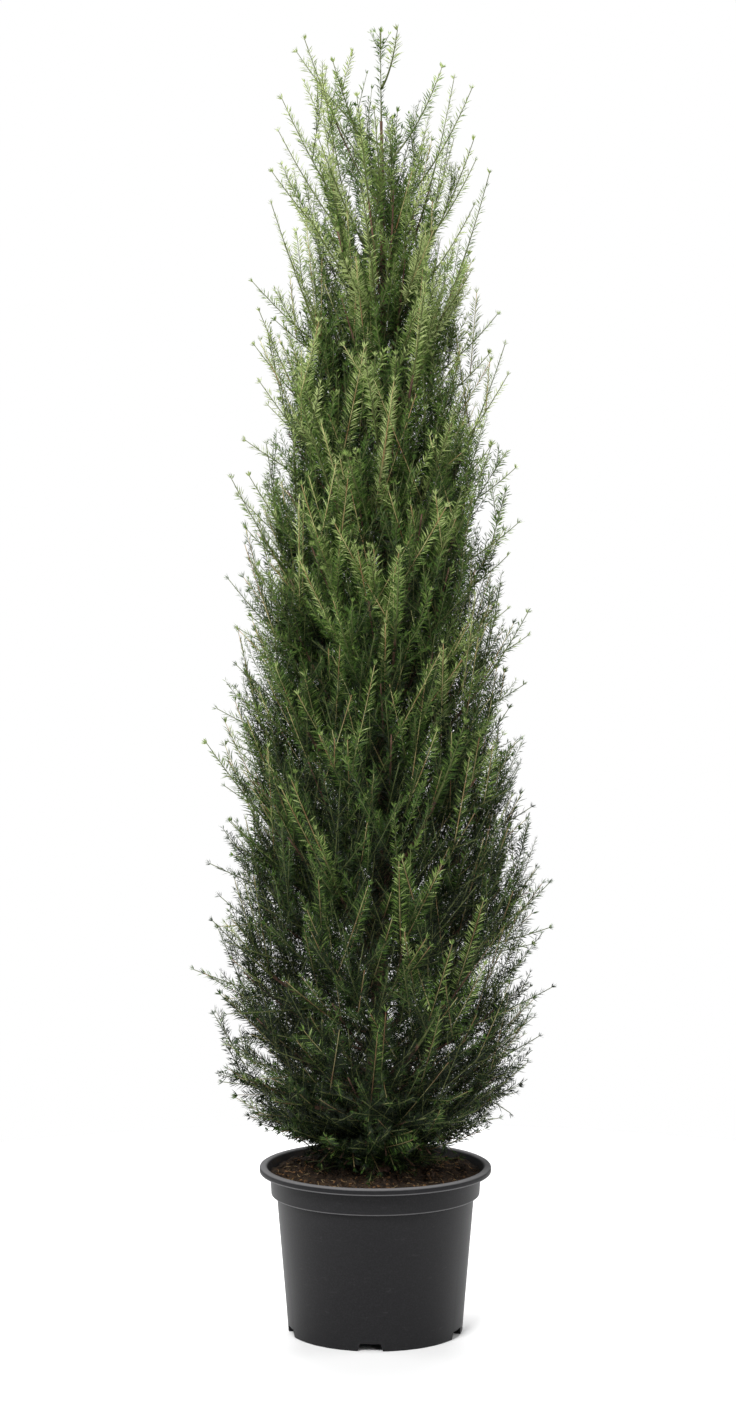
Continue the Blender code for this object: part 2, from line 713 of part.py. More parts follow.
def build_bough(branch, material):
    """The bare limb between the trunk and the mass."""
    shares = np.linspace(0, branch.bough_share, 3)
    out = branch.curve[1] - branch.curve[0]
    normal = unit(np.array([out[0], out[1], 0.0]))
    vertices, faces = tube(bezier(branch.curve, shares), limb_radius(branch, shares), BOUGH_SIDES,
                           root_normal=normal)
    return add_object(f"bough_{branch.name}", vertices, faces, material)


def stem_mesh(branch):
    """The mass's own stem, one gap on from its bough's end or from the trunk."""
    length = np.linalg.norm(branch.curve[2] - branch.curve[0])
    start = branch.bough_share + (GAP / length if branch.bough_share > 0 else 0.0)
    shares = np.linspace(start, sum(core_span(branch)) / 2, 3)
    normal = None
    if branch.bough_share == 0 and branch.name != "leader":
        out = branch.curve[1] - branch.curve[0]
        normal = unit(np.array([out[0], out[1], 0.0]))
    radii = np.maximum(limb_radius(branch, shares), STEM_LEAST_RADIUS)
    return tube(bezier(branch.curve, shares), radii, STEM_SIDES, root_normal=normal)


def spread(start, allowed):
    """The faces that hang together with one face, over edges between two allowed faces."""
    found = {start}
    waiting = [start]
    while waiting:
        for edge in waiting.pop().edges:
            near = set(edge.link_faces) & allowed - found if len(edge.link_faces) == 2 else set()
            found |= near
            waiting += near
    return found


def drop_scraps(mesh):
    """Keep the largest body of a mesh, and tell whether it is closed and held by no mere sliver."""
    bm = bmesh.new()
    bm.from_mesh(mesh)
    bmesh.ops.remove_doubles(bm, verts=bm.verts, dist=SLIVER / 2)
    bmesh.ops.triangulate(bm, faces=bm.faces)
    left = set(bm.faces)
    bodies = []
    while left:
        bodies.append(spread(next(iter(left)), left))
        left -= bodies[-1]
    body = max(bodies, key=len)
    bmesh.ops.delete(bm, geom=[face for face in bm.faces if face not in body], context="FACES")
    wide = {face for face in bm.faces
            if 2 * face.calc_area() > SLIVER * max(edge.calc_length() for edge in face.edges)}
    whole = spread(next(iter(wide)), wide) == wide
    whole = whole and all(edge.is_manifold for edge in bm.edges)
    bm.to_mesh(mesh)
    bm.free()
    return whole


def fused(name, shapes, material):
    """One object from shapes that run into each other: a Boolean union with a collection."""
    item = add_object(name, *shapes[0], material)
    extra = bpy.data.collections.new(f"{name}_pieces")
    bpy.context.scene.collection.children.link(extra)
    for number, shape in enumerate(shapes[1:]):
        piece = add_object(f"{name}_piece_{number}", *shape, material)
        bpy.context.scene.collection.objects.unlink(piece)
        extra.objects.link(piece)
    union = item.modifiers.new("fused", "BOOLEAN")
    union.operation = "UNION"
    union.operand_type = "COLLECTION"
    union.collection = extra
    union.solver = "MANIFOLD"
    graph = bpy.context.evaluated_depsgraph_get()
    joined = bpy.data.meshes.new_from_object(item.evaluated_get(graph))
    item.modifiers.clear()
    item.data = joined
    for piece in list(extra.objects):
        bpy.data.objects.remove(piece, do_unlink=True)
    bpy.data.collections.remove(extra)
    return item


def build_mass(branch, space, core, material):
    """One mass of foliage: stem, core and sprays in one body, with fewer sprays if that fails."""
    shapes = [stem_mesh(branch), core] + choose_sprays(branch, space, core)
    item = fused(f"foliage_{branch.name}", shapes, material)
    while not drop_scraps(item.data) and len(shapes) > FEWEST_SHAPES:
        bpy.data.objects.remove(item, do_unlink=True)
        shapes.pop()
        item = fused(f"foliage_{branch.name}", shapes, material)
    return item


def main():
    """Build the whole plant in its pot."""
    clear_scene()
    plastic = plain_material("anthracite plastic", (0.034, 0.034, 0.036), 0.55)
    earth = plain_material("peat and coir", (0.060, 0.030, 0.016), 0.95)
    bark = plain_material("bark", (0.120, 0.062, 0.038), 0.85)
    needles = plain_material("needles", (0.055, 0.105, 0.030), 0.55)
    build_pot(plastic)
    build_soil(earth)
    build_trunk(bark)
    branches = plan_branches()
    space = Space(branches)
    cores = [core_mesh(branch, space) for branch in branches]
    for branch, core in zip(branches, cores):
        if branch.bough_share > 0:
            build_bough(branch, bark)
        build_mass(branch, space, core, needles)


main()
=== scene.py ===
# %% [markdown]
# # A potted English yew, from the pot up
#
# A plain CAD model carries this plant's weight and its collisions. This lesson makes what the eye
# sees: the moulded pot, the crumbly soil, the bark, and a crown of some thousands of shoots with
# their needles. Lengths are metres, +Z is up, the front faces -Y, and the origin is the middle of
# the pot's underside. Everything grows from a few named sizes, so changing one of them and running
# the cells again gives another tree of the same kind.

# %% Open the frame
from math import pi, radians

import bpy
import numpy as np
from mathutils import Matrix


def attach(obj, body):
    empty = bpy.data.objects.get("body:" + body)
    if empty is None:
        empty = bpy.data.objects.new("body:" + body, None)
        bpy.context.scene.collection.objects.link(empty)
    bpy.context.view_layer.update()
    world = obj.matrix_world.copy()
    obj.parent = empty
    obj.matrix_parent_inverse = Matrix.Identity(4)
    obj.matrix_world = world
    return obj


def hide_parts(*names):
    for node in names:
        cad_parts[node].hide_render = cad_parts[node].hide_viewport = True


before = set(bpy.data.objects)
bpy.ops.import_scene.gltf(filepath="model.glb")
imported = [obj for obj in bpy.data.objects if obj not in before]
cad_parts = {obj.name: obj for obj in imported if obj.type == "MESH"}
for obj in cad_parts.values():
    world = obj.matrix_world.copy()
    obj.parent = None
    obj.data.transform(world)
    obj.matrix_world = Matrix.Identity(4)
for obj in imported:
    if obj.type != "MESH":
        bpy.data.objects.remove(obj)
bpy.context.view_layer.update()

foliage_nodes = sorted(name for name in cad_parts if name.startswith("foliage"))
bough_nodes = sorted(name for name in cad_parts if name.startswith("bough"))
print(len(foliage_nodes), "masses of foliage and", len(bough_nodes), "boughs to dress")

# %% [markdown]
# ## Shader sums that read like sums
#
# A finish such as plastic or bark is mostly arithmetic on patterns: this much noise, plus that
# much, but only below the rim. In Blender each sum is a Math node, and wiring dozens by hand hides
# the idea. A small class that wraps a socket and overloads +, - and * lets the finish be written
# as an expression. Every other node comes from one method, which sets the node up first and then
# fills its sockets.

# %% A socket that knows its arithmetic
class Value:
    """One output of a node. A sum on it adds the Math node that works it out."""

    def __init__(self, wiring, socket):
        self.wiring = wiring
        self.socket = socket

    def maths(self, operation, *terms):
        return self.wiring.node("ShaderNodeMath", {"operation": operation}, *terms)

    def __add__(self, other):
        return self.maths("ADD", self, other)

    def __rsub__(self, other):
        return self.maths("SUBTRACT", other, self)

    def __mul__(self, other):
        return self.maths("MULTIPLY", self, other)

    __radd__ = __add__
    __rmul__ = __mul__

    def between(self, low, high):
        """0 below low, 1 above high, and an even rise from one to the other."""
        return self.wiring.node("ShaderNodeMapRange", {"clamp": True}, self, low, high)

    def band(self, low, full, fading, high):
        """1 from full to fading, and down to 0 at low and at high."""
        return self.between(low, full) * (1.0 - self.between(fading, high))


print("Sockets can be added and multiplied now")

# %% One method for every node
class Wiring:
    """A tree of nodes, and the one method that adds to it."""

    def __init__(self, tree):
        self.tree = tree

    def node(self, kind, settings, *inputs, output=None, **named):
        """Adds a node: settings first, then the values or links of the sockets in use."""
        node = self.tree.nodes.new(kind)
        for key, value in settings.items():
            if key == "stops":
                self.fill_ramp(node.color_ramp, value)
            else:
                setattr(node, key, value)
        in_use = [socket for socket in node.inputs if socket.enabled]
        for socket, value in zip(in_use, inputs):
            self.feed(socket, value)
        for key, value in named.items():
            self.feed(node.inputs[key], value)
        if output is None:
            return Value(self, next(socket for socket in node.outputs if socket.enabled))
        return Value(self, node.outputs[output])

    @staticmethod
    def fill_ramp(ramp, stops):
        """Gives a ramp its stops: each is a place from 0 to 1 and a colour."""
        while len(ramp.elements) < len(stops):
            ramp.elements.new(1.0)
        for element, (place, colour) in zip(ramp.elements, stops):
            element.position = place
            element.color = (*colour, 1.0)

    def feed(self, socket, value):
        """Links a Value to a socket, or sets the socket to a number, vector or colour."""
        if isinstance(value, Value):
            self.tree.links.new(value.socket, socket)
        elif socket.type == "RGBA":
            socket.default_value = (*value, 1.0)
        else:
            socket.default_value = value


class Finish(Wiring):
    """A material: its Principled shader and the nodes that feed it."""

    def __init__(self, name, **constants):
        self.material = bpy.data.materials.new(name)
        self.material.use_nodes = True
        super().__init__(self.material.node_tree)
        self.shader = self.tree.nodes["Principled BSDF"]
        self.place = self.node("ShaderNodeTexCoord", {}, output="Object")
        self.set(**constants)

    def set(self, **sockets):
        """Feeds sockets of the shader, named in lower case with underscores."""
        for name, value in sockets.items():
            words = name.replace("_", " ")
            socket = next(s for s in self.shader.inputs if s.name.lower() == words)
            self.feed(socket, value)

    def noise(self, scale, detail=3.0, stretch=(1.0, 1.0, 1.0), roughness=0.5):
        """Cloudy noise from 0 to 1 in the object's own space, stretched along its axes."""
        spot = self.node("ShaderNodeMapping", {}, self.place, Scale=stretch)
        return self.node("ShaderNodeTexNoise", {}, spot, Scale=scale, Detail=detail,
                         Roughness=roughness)

    def mix(self, factor, first, second):
        """A colour between two colours."""
        return self.node("ShaderNodeMix", {"data_type": "RGBA"}, factor, first, second)

    def bump(self, height, distance, strength=1.0):
        """Turns a height pattern into the shader's normal, with its relief in metres."""
        self.set(normal=self.node("ShaderNodeBump", {}, Strength=strength, Distance=distance,
                                  Height=height))


print("Finishes can be written as sums now")

# %% [markdown]
# ## From arrays to meshes
#
# A mesh is only an array of points and an array of faces. Each shape below is worked out as whole
# arrays, which numpy does in milliseconds, and one helper hands the arrays to Blender. A tube, for
# example, is a path with a ring of points round each of its points: the same sum serves one trunk
# or thousands of twigs at once.

# %% Directions, curves and tubes as whole arrays
UP = np.array([0.0, 0.0, 1.0])


def unit(vectors):
    """Each vector divided by its own length."""
    return vectors / np.linalg.norm(vectors, axis=-1, keepdims=True)


def along(amounts, vectors):
    """Each vector times its own amount."""
    return np.asarray(amounts)[..., None] * vectors


def turned(angles, first, second):
    """The direction cos(a) * first + sin(a) * second for each angle a."""
    return along(np.cos(angles), first) + along(np.sin(angles), second)


def squared(vectors, axes):
    """What is left of each vector once its part along its axis is taken off, at length 1."""
    return unit(vectors - axes * (vectors * axes).sum(-1, keepdims=True))


def bezier(curves, share):
    """Points (1-t)^2 A + 2t(1-t) B + t^2 C of curves with control points A, B and C."""
    t = np.asarray(share)[..., None]
    start, bend, end = curves[..., 0, :], curves[..., 1, :], curves[..., 2, :]
    return (1 - t) ** 2 * start + 2 * t * (1 - t) * bend + t ** 2 * end


def heading(curves, share):
    """Direction (1-t)(B-A) + t(C-B) of the same curves, at length 1."""
    t = np.asarray(share)[..., None]
    start, bend, end = curves[..., 0, :], curves[..., 1, :], curves[..., 2, :]
    return unit((1 - t) * (bend - start) + t * (end - bend))


def dealt(counts):
    """Items dealt to owners by these counts: the owner of each, and its number there from 0."""
    owner = np.repeat(np.arange(len(counts)), counts)
    return owner, np.arange(counts.sum()) - np.repeat(np.cumsum(counts) - counts, counts)


def tubes(paths, radii, sides):
    """Rings round many paths: point + radius * (cos a * across + sin a * over), ends closed."""
    ways = unit(np.gradient(paths, axis=1))
    flattest = np.abs(paths[:, -1] - paths[:, 0]).argmin(axis=-1)
    across = unit(np.cross(np.eye(3)[flattest][:, None], ways))
    over = np.cross(ways, across)
    turn = 2 * pi * np.arange(sides) / sides
    ring = turned(turn, across[:, :, None], over[:, :, None])
    points = paths[:, :, None] + along(np.asarray(radii)[..., None], ring)
    corner = np.arange(points[..., 0].size).reshape(points.shape[:3])
    following = np.roll(corner, -1, axis=2)
    walls = np.stack([corner[:, :-1], following[:, :-1], following[:, 1:], corner[:, 1:]], -1)
    return points.reshape(-1, 3), [walls.reshape(-1, 4), corner[:, 0, ::-1], corner[:, -1]]


def revolved(profile, columns):
    """A profile of (radius, height) rows carried round +Z. Its ends on the axis close as poles."""
    turn = 2 * pi * np.arange(columns) / columns
    rows = profile[1:-1]
    ring = np.stack([np.cos(turn), np.sin(turn)], axis=-1)
    flat = rows[:, None, :1] * ring
    tall = np.broadcast_to(rows[:, None, 1:], (len(rows), columns, 1))
    grid = np.concatenate([flat, tall], axis=-1).reshape(-1, 3)
    poles = np.array([[0.0, 0.0, profile[0, 1]], [0.0, 0.0, profile[-1, 1]]])
    corner = np.arange(len(grid)).reshape(len(rows), columns)
    following = np.roll(corner, -1, axis=1)
    walls = np.stack([corner[:-1], following[:-1], following[1:], corner[1:]], -1).reshape(-1, 4)
    first = np.stack([np.full(columns, len(grid)), following[0], corner[0]], axis=-1)
    last = np.stack([np.full(columns, len(grid) + 1), corner[-1], following[-1]], axis=-1)
    return np.concatenate([grid, poles]), [walls, first, last]


def ripples(points, wavelength, seed, waves=14):
    """A smooth random relief of height about 1: the sum of sines along drawn directions."""
    rng = np.random.default_rng(seed)
    ways = unit(rng.normal(size=(waves, 3))) * rng.uniform(0.6, 1.5, (waves, 1))
    phases = rng.uniform(0.0, 2 * pi, waves)
    angles = points @ ways.T * 2 * pi / wavelength + phases
    return np.sin(angles).sum(axis=-1) * np.sqrt(2.0 / waves)


print("A tube round one path has", len(tubes(np.eye(3)[None], np.ones((1, 3)), 6)[0]), "points")

# %% Hand arrays to Blender
def add_piece(name, points, face_groups, finish, smooth=True):
    """An object whose mesh has these points, and faces of one size in each group."""
    mesh = bpy.data.meshes.new(name)
    corners = np.concatenate([group.ravel() for group in face_groups]).astype(np.int32)
    sizes = np.concatenate([np.full(len(group), group.shape[1]) for group in face_groups])
    starts = (np.cumsum(sizes) - sizes).astype(np.int32)
    mesh.vertices.add(len(points))
    mesh.vertices.foreach_set("co", np.asarray(points, dtype=np.float32).ravel())
    mesh.loops.add(len(corners))
    mesh.loops.foreach_set("vertex_index", corners)
    mesh.polygons.add(len(sizes))
    mesh.polygons.foreach_set("loop_start", starts)
    mesh.update(calc_edges=True)
    mesh.polygons.foreach_set("use_smooth", np.full(len(sizes), smooth))
    mesh.materials.append(finish.material)
    piece = bpy.data.objects.new(name, mesh)
    bpy.context.scene.collection.objects.link(piece)
    triangles = int((sizes - 2).sum())
    print(f"{name}: {len(points)} points, {triangles} triangles")
    return piece


def dress(piece, slot, *nodes):
    """The piece moves with the plant and stands for its CAD nodes, which it hides. The slot is not
    used.
    """
    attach(piece, "root")
    if nodes:
        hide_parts(*nodes)


# %% [markdown]
# ## The pot
#
# The real pot is a thin injection-moulded shell: a tapering wall, a step out to a collar, a
# rolled lip, and five drain slots through the foot. A moulded shell is one section turned round an
# axis, so it is made as a profile with rounded corners, carried round in numpy. Only the slots
# aren't round, and Boolean modifiers cut them, as a mould's side cores do.

# %% The pot's sizes
POT_HEIGHT = 0.260
LIP_RADIUS = 0.180
LIP_HEIGHT = 0.010
LIP_FOOT = POT_HEIGHT - LIP_HEIGHT
LIP_INNER_RADIUS = 0.1693
COLLAR_TOP_RADIUS = 0.164
COLLAR_FOOT_RADIUS = 0.162
COLLAR_FOOT_HEIGHT = 0.2155
BODY_TOP_RADIUS = 0.1535
FOOT_RADIUS = 0.1355
WALL = 0.003
BASE_RING_WIDTH = 0.021
BASE_RISE = 0.008
BASE_STEP = 0.004
POT_COLUMNS = 160
BEND_STEPS = 5
DRAIN_COUNT = 5
DRAIN_TOP_WIDTH = 0.031
DRAIN_FOOT_WIDTH = 0.039
DRAIN_HEIGHT = 0.012
DRAIN_DEPTH = 0.040
BLOCK_BELOW = 0.010
DRAIN_TURN = radians(-93.4)
SHARP_ANGLE = radians(35.0)


def rounded(corners, radii):
    """Each corner becomes a short curve that starts and ends its own radius away from it."""
    middle = corners[1:-1]
    before = middle + unit(corners[:-2] - middle) * radii[:, None]
    after = middle + unit(corners[2:] - middle) * radii[:, None]
    bends = np.stack([before, middle, after], axis=1)
    curves = bezier(bends[:, None], np.linspace(0, 1, BEND_STEPS)[None])
    return np.concatenate([corners[:1], curves.reshape(-1, 2), corners[-1:]])


def pot_profile():
    """The section as (radius, height, rounding): underside, wall, lip, and down the inside."""
    ring_inner = FOOT_RADIUS - BASE_RING_WIDTH
    section = np.array([
        (0.0, BASE_RISE, 0.0),
        (ring_inner - BASE_STEP, BASE_RISE, 0.0020),
        (ring_inner, 0.0, 0.0015),
        (FOOT_RADIUS, 0.0, 0.0020),
        (BODY_TOP_RADIUS, COLLAR_FOOT_HEIGHT, 0.0012),
        (COLLAR_FOOT_RADIUS, COLLAR_FOOT_HEIGHT, 0.0018),
        (COLLAR_TOP_RADIUS, LIP_FOOT, 0.0022),
        (LIP_RADIUS, LIP_FOOT, 0.0018),
        (LIP_RADIUS, POT_HEIGHT, 0.0034),
        (LIP_INNER_RADIUS, POT_HEIGHT, 0.0022),
        (COLLAR_TOP_RADIUS - WALL, LIP_FOOT - WALL, 0.0030),
        (COLLAR_FOOT_RADIUS - WALL, COLLAR_FOOT_HEIGHT + WALL, 0.0015),
        (BODY_TOP_RADIUS - WALL, COLLAR_FOOT_HEIGHT - WALL, 0.0015),
        (FOOT_RADIUS - WALL, WALL, 0.0020),
        (ring_inner + WALL, WALL, 0.0010),
        (ring_inner + WALL - BASE_STEP, BASE_RISE + WALL, 0.0010),
        (0.0, BASE_RISE + WALL, 0.0),
    ])
    return rounded(section[:, :2], section[1:-1, 2])


print("The section has", len(pot_profile()), "points")

# %% Anthracite plastic
plastic = Finish("anthracite_plastic", ior=1.48, specular_ior_level=0.15)
height = plastic.node("ShaderNodeSeparateXYZ", {}, plastic.place, output="Z")
level = plastic.node("ShaderNodeMapping", {}, plastic.place, Scale=(1.0, 1.0, 0.0))
away = plastic.node("ShaderNodeVectorMath", {"operation": "LENGTH"}, level, output="Value")
grain = plastic.noise(420.0, detail=3.0, roughness=0.6)
flow = plastic.noise(9.0, detail=4.0, stretch=(1.0, 1.0, 0.35))
scuffs = plastic.noise(38.0, detail=6.0, stretch=(1.0, 1.0, 4.0), roughness=0.7)
scuffs = scuffs.between(0.60, 0.74)
# The lip's pale top is a painted highlight where light catches its top face, over a little real
# wear.
lip_wear_and_highlight = height.between(POT_HEIGHT - 0.0025, POT_HEIGHT)
# Thin pale lines at the lip's lower edge and the collar's foot: painted highlights on the rounded
# edges, with a little wear.
lip_edge_wear_and_highlight = height.band(LIP_FOOT - 0.0002, LIP_FOOT + 0.0004, LIP_FOOT + 0.0014, LIP_FOOT + 0.0024)
lip_edge_wear_and_highlight = lip_edge_wear_and_highlight * away.between(LIP_RADIUS - 0.0030, LIP_RADIUS - 0.0010)
step_edge_wear_and_highlight = height.band(COLLAR_FOOT_HEIGHT - 0.0005, COLLAR_FOOT_HEIGHT + 0.0002,
                        COLLAR_FOOT_HEIGHT + 0.0011, COLLAR_FOOT_HEIGHT + 0.0023)
step_edge_wear_and_highlight = step_edge_wear_and_highlight * away.between(COLLAR_FOOT_RADIUS - 0.0030, COLLAR_FOOT_RADIUS - 0.0015)
near_soil = height.band(LIP_FOOT + 0.0004, LIP_FOOT + 0.0014,
                        POT_HEIGHT - 0.0040, POT_HEIGHT - 0.0015)
near_soil = near_soil * (1.0 - away.between(LIP_INNER_RADIUS - 0.0018, LIP_INNER_RADIUS - 0.0003))
dust = near_soil * plastic.noise(55.0, detail=6.0, roughness=0.65).between(0.45, 0.75)
black = plastic.mix(flow, (0.0072, 0.0072, 0.0079), (0.0100, 0.0099, 0.0109))
black = plastic.mix(grain.between(0.42, 0.72) * 0.35, black, (0.024, 0.024, 0.026))
black = plastic.mix(scuffs * 0.20, black, (0.075, 0.073, 0.074))
# Painted highlights, with some wear: the lip's top face, the lip's lower edge and the collar's
# foot.
black = plastic.mix(lip_wear_and_highlight * 0.85, black, (0.210, 0.207, 0.212))
black = plastic.mix((lip_edge_wear_and_highlight + step_edge_wear_and_highlight) * 0.60, black, (0.150, 0.148, 0.152))
black = plastic.mix(dust * 0.5, black, (0.070, 0.045, 0.028))
plastic.set(base_color=black, roughness=0.42 + flow * 0.08 + scuffs * 0.12 + dust * 0.3)
plastic.bump(grain * 0.7 + scuffs * 0.3, distance=0.00020, strength=0.6)
# The worn lip's paleness is a painted highlight as well as wear.
print("Plastic: satin, with a worn lip and earth dust on the inner edge")

# %% Turn the pot and cut its drain slots
def slot_block(number):
    """A block that is wider at its foot, standing across the wall at one slot's turn."""
    turn = DRAIN_TURN + number * 2 * pi / DRAIN_COUNT
    out = np.array([np.cos(turn), np.sin(turn), 0.0])
    side = np.array([-np.sin(turn), np.cos(turn), 0.0])
    inner, outer = FOOT_RADIUS - DRAIN_DEPTH, FOOT_RADIUS + DRAIN_DEPTH / 2
    slope = (DRAIN_FOOT_WIDTH - DRAIN_TOP_WIDTH) / DRAIN_HEIGHT
    places = [(far, high) for far in (inner, outer) for high in (-BLOCK_BELOW, DRAIN_HEIGHT)]
    corners = [out * far + UP * high + side * hand * (DRAIN_FOOT_WIDTH - slope * high) / 2
               for far, high in places for hand in (-1, 1)]
    faces = np.array([(0, 2, 3, 1), (4, 5, 7, 6), (0, 1, 5, 4), (2, 6, 7, 3), (0, 4, 6, 2),
                      (1, 3, 7, 5)])
    return add_piece(f"slot_block_{number}", np.array(corners), [faces], plastic, smooth=False)


def work_in_modifiers(piece):
    """Gives the piece the mesh that its modifiers make, in place of the modifiers."""
    graph = bpy.context.evaluated_depsgraph_get()
    mesh = bpy.data.meshes.new_from_object(piece.evaluated_get(graph))
    piece.modifiers.clear()
    piece.data = mesh


pot = add_piece("nursery_pot", *revolved(pot_profile(), POT_COLUMNS), plastic)
blocks = [slot_block(number) for number in range(DRAIN_COUNT)]
for block in blocks:
    cut = pot.modifiers.new(block.name, "BOOLEAN")
    cut.operation = "DIFFERENCE"
    cut.solver = "EXACT"
    cut.object = block
work_in_modifiers(pot)
for block in blocks:
    bpy.data.objects.remove(block, do_unlink=True)
pot.data.shade_smooth()
pot.data.set_sharp_from_angle(angle=SHARP_ANGLE)
dress(pot, "pot", "pot")
print("The pot has", len(pot.data.polygons), "faces after the cuts")

# %% [markdown]
# ## The soil
#
# Nursery soil is moist peat with coir fibre, bark chips and a few straws. Its surface is a disc of
# rings, lifted by a sum of ripples from long to short so that it is lumpy at every scale. Chips and
# straws are separate shapes strewn over it, because no bump map gives a chip its own shadow.

# %% Lumps of peat
SOIL_HEIGHT = 0.251
SOIL_RINGS = 70
SOIL_COLUMNS = 200
SOIL_RADIUS = 0.1625
SOIL_DEPTH = 0.020
SOIL_BEVEL = 0.006
EDGE_RADIUS = 0.140
EDGE_RUN = 0.028
EDGE_SINK = 0.0030


def soil_height(x, y):
    """Height of the soil: its level, plus ripples of 60, 18 and 6 mm, sinking to the wall."""
    spots = np.stack([x, y, 0.0 * x], axis=-1)
    away = np.hypot(x, y)
    lumps = 0.0016 * ripples(spots, 0.060, 3) + 0.0010 * ripples(spots, 0.018, 5)
    crumbs = 0.0007 * ripples(spots, 0.006, 8)
    edge = np.clip((away - EDGE_RADIUS) / EDGE_RUN, 0.0, 1.0)
    return SOIL_HEIGHT + lumps + crumbs * (1.0 - 0.5 * edge) - EDGE_SINK * edge ** 2


def soil_surface():
    """Rings of points from the middle to the wall, each at the soil's height, with a skirt."""
    radii = np.linspace(0.0, SOIL_RADIUS, SOIL_RINGS)[1:]
    profile = np.stack([np.append(radii[::-1], 0.0), np.zeros(SOIL_RINGS)], axis=-1)
    skirt = np.array([[0.0, -SOIL_DEPTH], [SOIL_RADIUS - SOIL_BEVEL, -SOIL_DEPTH],
                      [SOIL_RADIUS - SOIL_BEVEL / 2, -SOIL_BEVEL]])
    points, faces = revolved(np.concatenate([skirt, profile]), SOIL_COLUMNS)
    on_top = points[:, 2] == 0.0
    tall = soil_height(points[:, 0], points[:, 1])
    points[:, 2] = np.where(on_top, tall, SOIL_HEIGHT + points[:, 2])
    return points, faces


peat = Finish("peat_and_coir", specular_ior_level=0.25)
lumps = peat.noise(70.0, detail=8.0, roughness=0.65)
fibres = peat.noise(150.0, detail=5.0, stretch=(1.0, 4.0, 1.0)).between(0.50, 0.72)
earth = peat.node("ShaderNodeValToRGB", {"stops": [
    (0.30, (0.0025, 0.0015, 0.0010)),
    (0.50, (0.0140, 0.0085, 0.0045)),
    (0.66, (0.0420, 0.0250, 0.0110)),
    (0.80, (0.0800, 0.0480, 0.0240)),
]}, lumps)
earth = peat.mix(fibres * 0.45, earth, (0.120, 0.068, 0.032))
peat.set(base_color=earth, roughness=0.82 + lumps * 0.18)
peat.bump(lumps + fibres * 0.4, distance=0.0022)
dress(add_piece("soil_surface", *soil_surface(), peat), "soil", "soil")

# %% Chips and straws
CHIP_REACH = 0.157
CHIP_CORNERS = 5
CHIP_TILT = 0.45
CHIP_WIDTH = 0.55
CHIP_THICKNESS = 0.14
CHIP_LIFT = 0.0008
STRAW_REACH = 0.150
STRAW_LENGTHS = (0.006, 0.021)
STRAW_RADII = (0.00025, 0.0006)
STRAW_BOW = 0.18
STRAW_LIFT = 0.0010
STRAW_RINGS = 6
STRAW_SIDES = 5


def flakes(count, size, seed):
    """Flat chips: five drawn rim points and two faces' middles each, strewn on the soil."""
    rng = np.random.default_rng(seed)
    away = CHIP_REACH * np.sqrt(rng.uniform(0.05, 1.0, count))
    turn = rng.uniform(0, 2 * pi, count)
    x, y = away * np.cos(turn), away * np.sin(turn)
    middle = np.stack([x, y, soil_height(x, y) + CHIP_LIFT], axis=-1)
    normal = unit(UP + CHIP_TILT * rng.normal(size=(count, 3)))
    across = squared(rng.normal(size=(count, 3)), normal)
    over = np.cross(normal, across)
    reach = size * rng.uniform(0.5, 1.3, (count, 1))
    side = np.arange(CHIP_CORNERS)
    turn = side + rng.uniform(-0.3, 0.3, (count, CHIP_CORNERS))
    angle = 2 * pi * turn / CHIP_CORNERS
    long = reach * rng.uniform(0.7, 1.3, (count, CHIP_CORNERS))
    rim = middle[:, None] + along(long * np.cos(angle), across[:, None])
    rim = rim + along(CHIP_WIDTH * long * np.sin(angle), over[:, None])
    thick = normal * (CHIP_THICKNESS * reach)
    points = np.concatenate([rim, (middle + thick)[:, None], (middle - thick)[:, None]], axis=1)
    corner = np.arange(count)[:, None, None] * (CHIP_CORNERS + 2)
    following = (side + 1) % CHIP_CORNERS
    top = np.stack([side, following, np.full(CHIP_CORNERS, CHIP_CORNERS)], axis=-1)
    under = np.stack([following, side, np.full(CHIP_CORNERS, CHIP_CORNERS + 1)], axis=-1)
    return points.reshape(-1, 3), [(corner + np.concatenate([top, under])).reshape(-1, 3)]


def straws(count, seed):
    """Thin bent tubes that lie on the soil: a drawn middle, direction, length and bow."""
    rng = np.random.default_rng(seed)
    away = STRAW_REACH * np.sqrt(rng.uniform(0.1, 1.0, count))
    turn = rng.uniform(0, 2 * pi, count)
    middle = np.stack([away * np.cos(turn), away * np.sin(turn)], axis=-1)
    aim = rng.uniform(0, 2 * pi, count)
    way = np.stack([np.cos(aim), np.sin(aim)], axis=-1)
    cross = np.stack([-np.sin(aim), np.cos(aim)], axis=-1)
    long = rng.uniform(*STRAW_LENGTHS, (count, 1))
    share = np.linspace(-0.5, 0.5, STRAW_RINGS)
    flat = middle[:, None] + along(long * share, way[:, None])
    bow = rng.normal(scale=STRAW_BOW, size=(count, 1)) * long * (1 - 4 * share ** 2)
    flat = flat + along(bow, cross[:, None])
    tall = soil_height(flat[..., 0], flat[..., 1]) + STRAW_LIFT
    paths = np.concatenate([flat, tall[..., None]], axis=-1)
    radii = rng.uniform(*STRAW_RADII, (count, 1)) * (1 - 0.5 * np.abs(2 * share))
    return tubes(paths, radii, STRAW_SIDES)


def litter_finish(name, dark, light):
    """Matt plant litter: two browns mixed by fine fibre noise, with the fibre in its relief."""
    litter = Finish(name, specular_ior_level=0.3)
    fibre = litter.noise(420.0, detail=4.0, stretch=(1.0, 2.5, 1.0))
    litter.set(base_color=litter.mix(fibre, dark, light), roughness=0.70 + fibre * 0.25)
    litter.bump(fibre, distance=0.0004)
    return litter


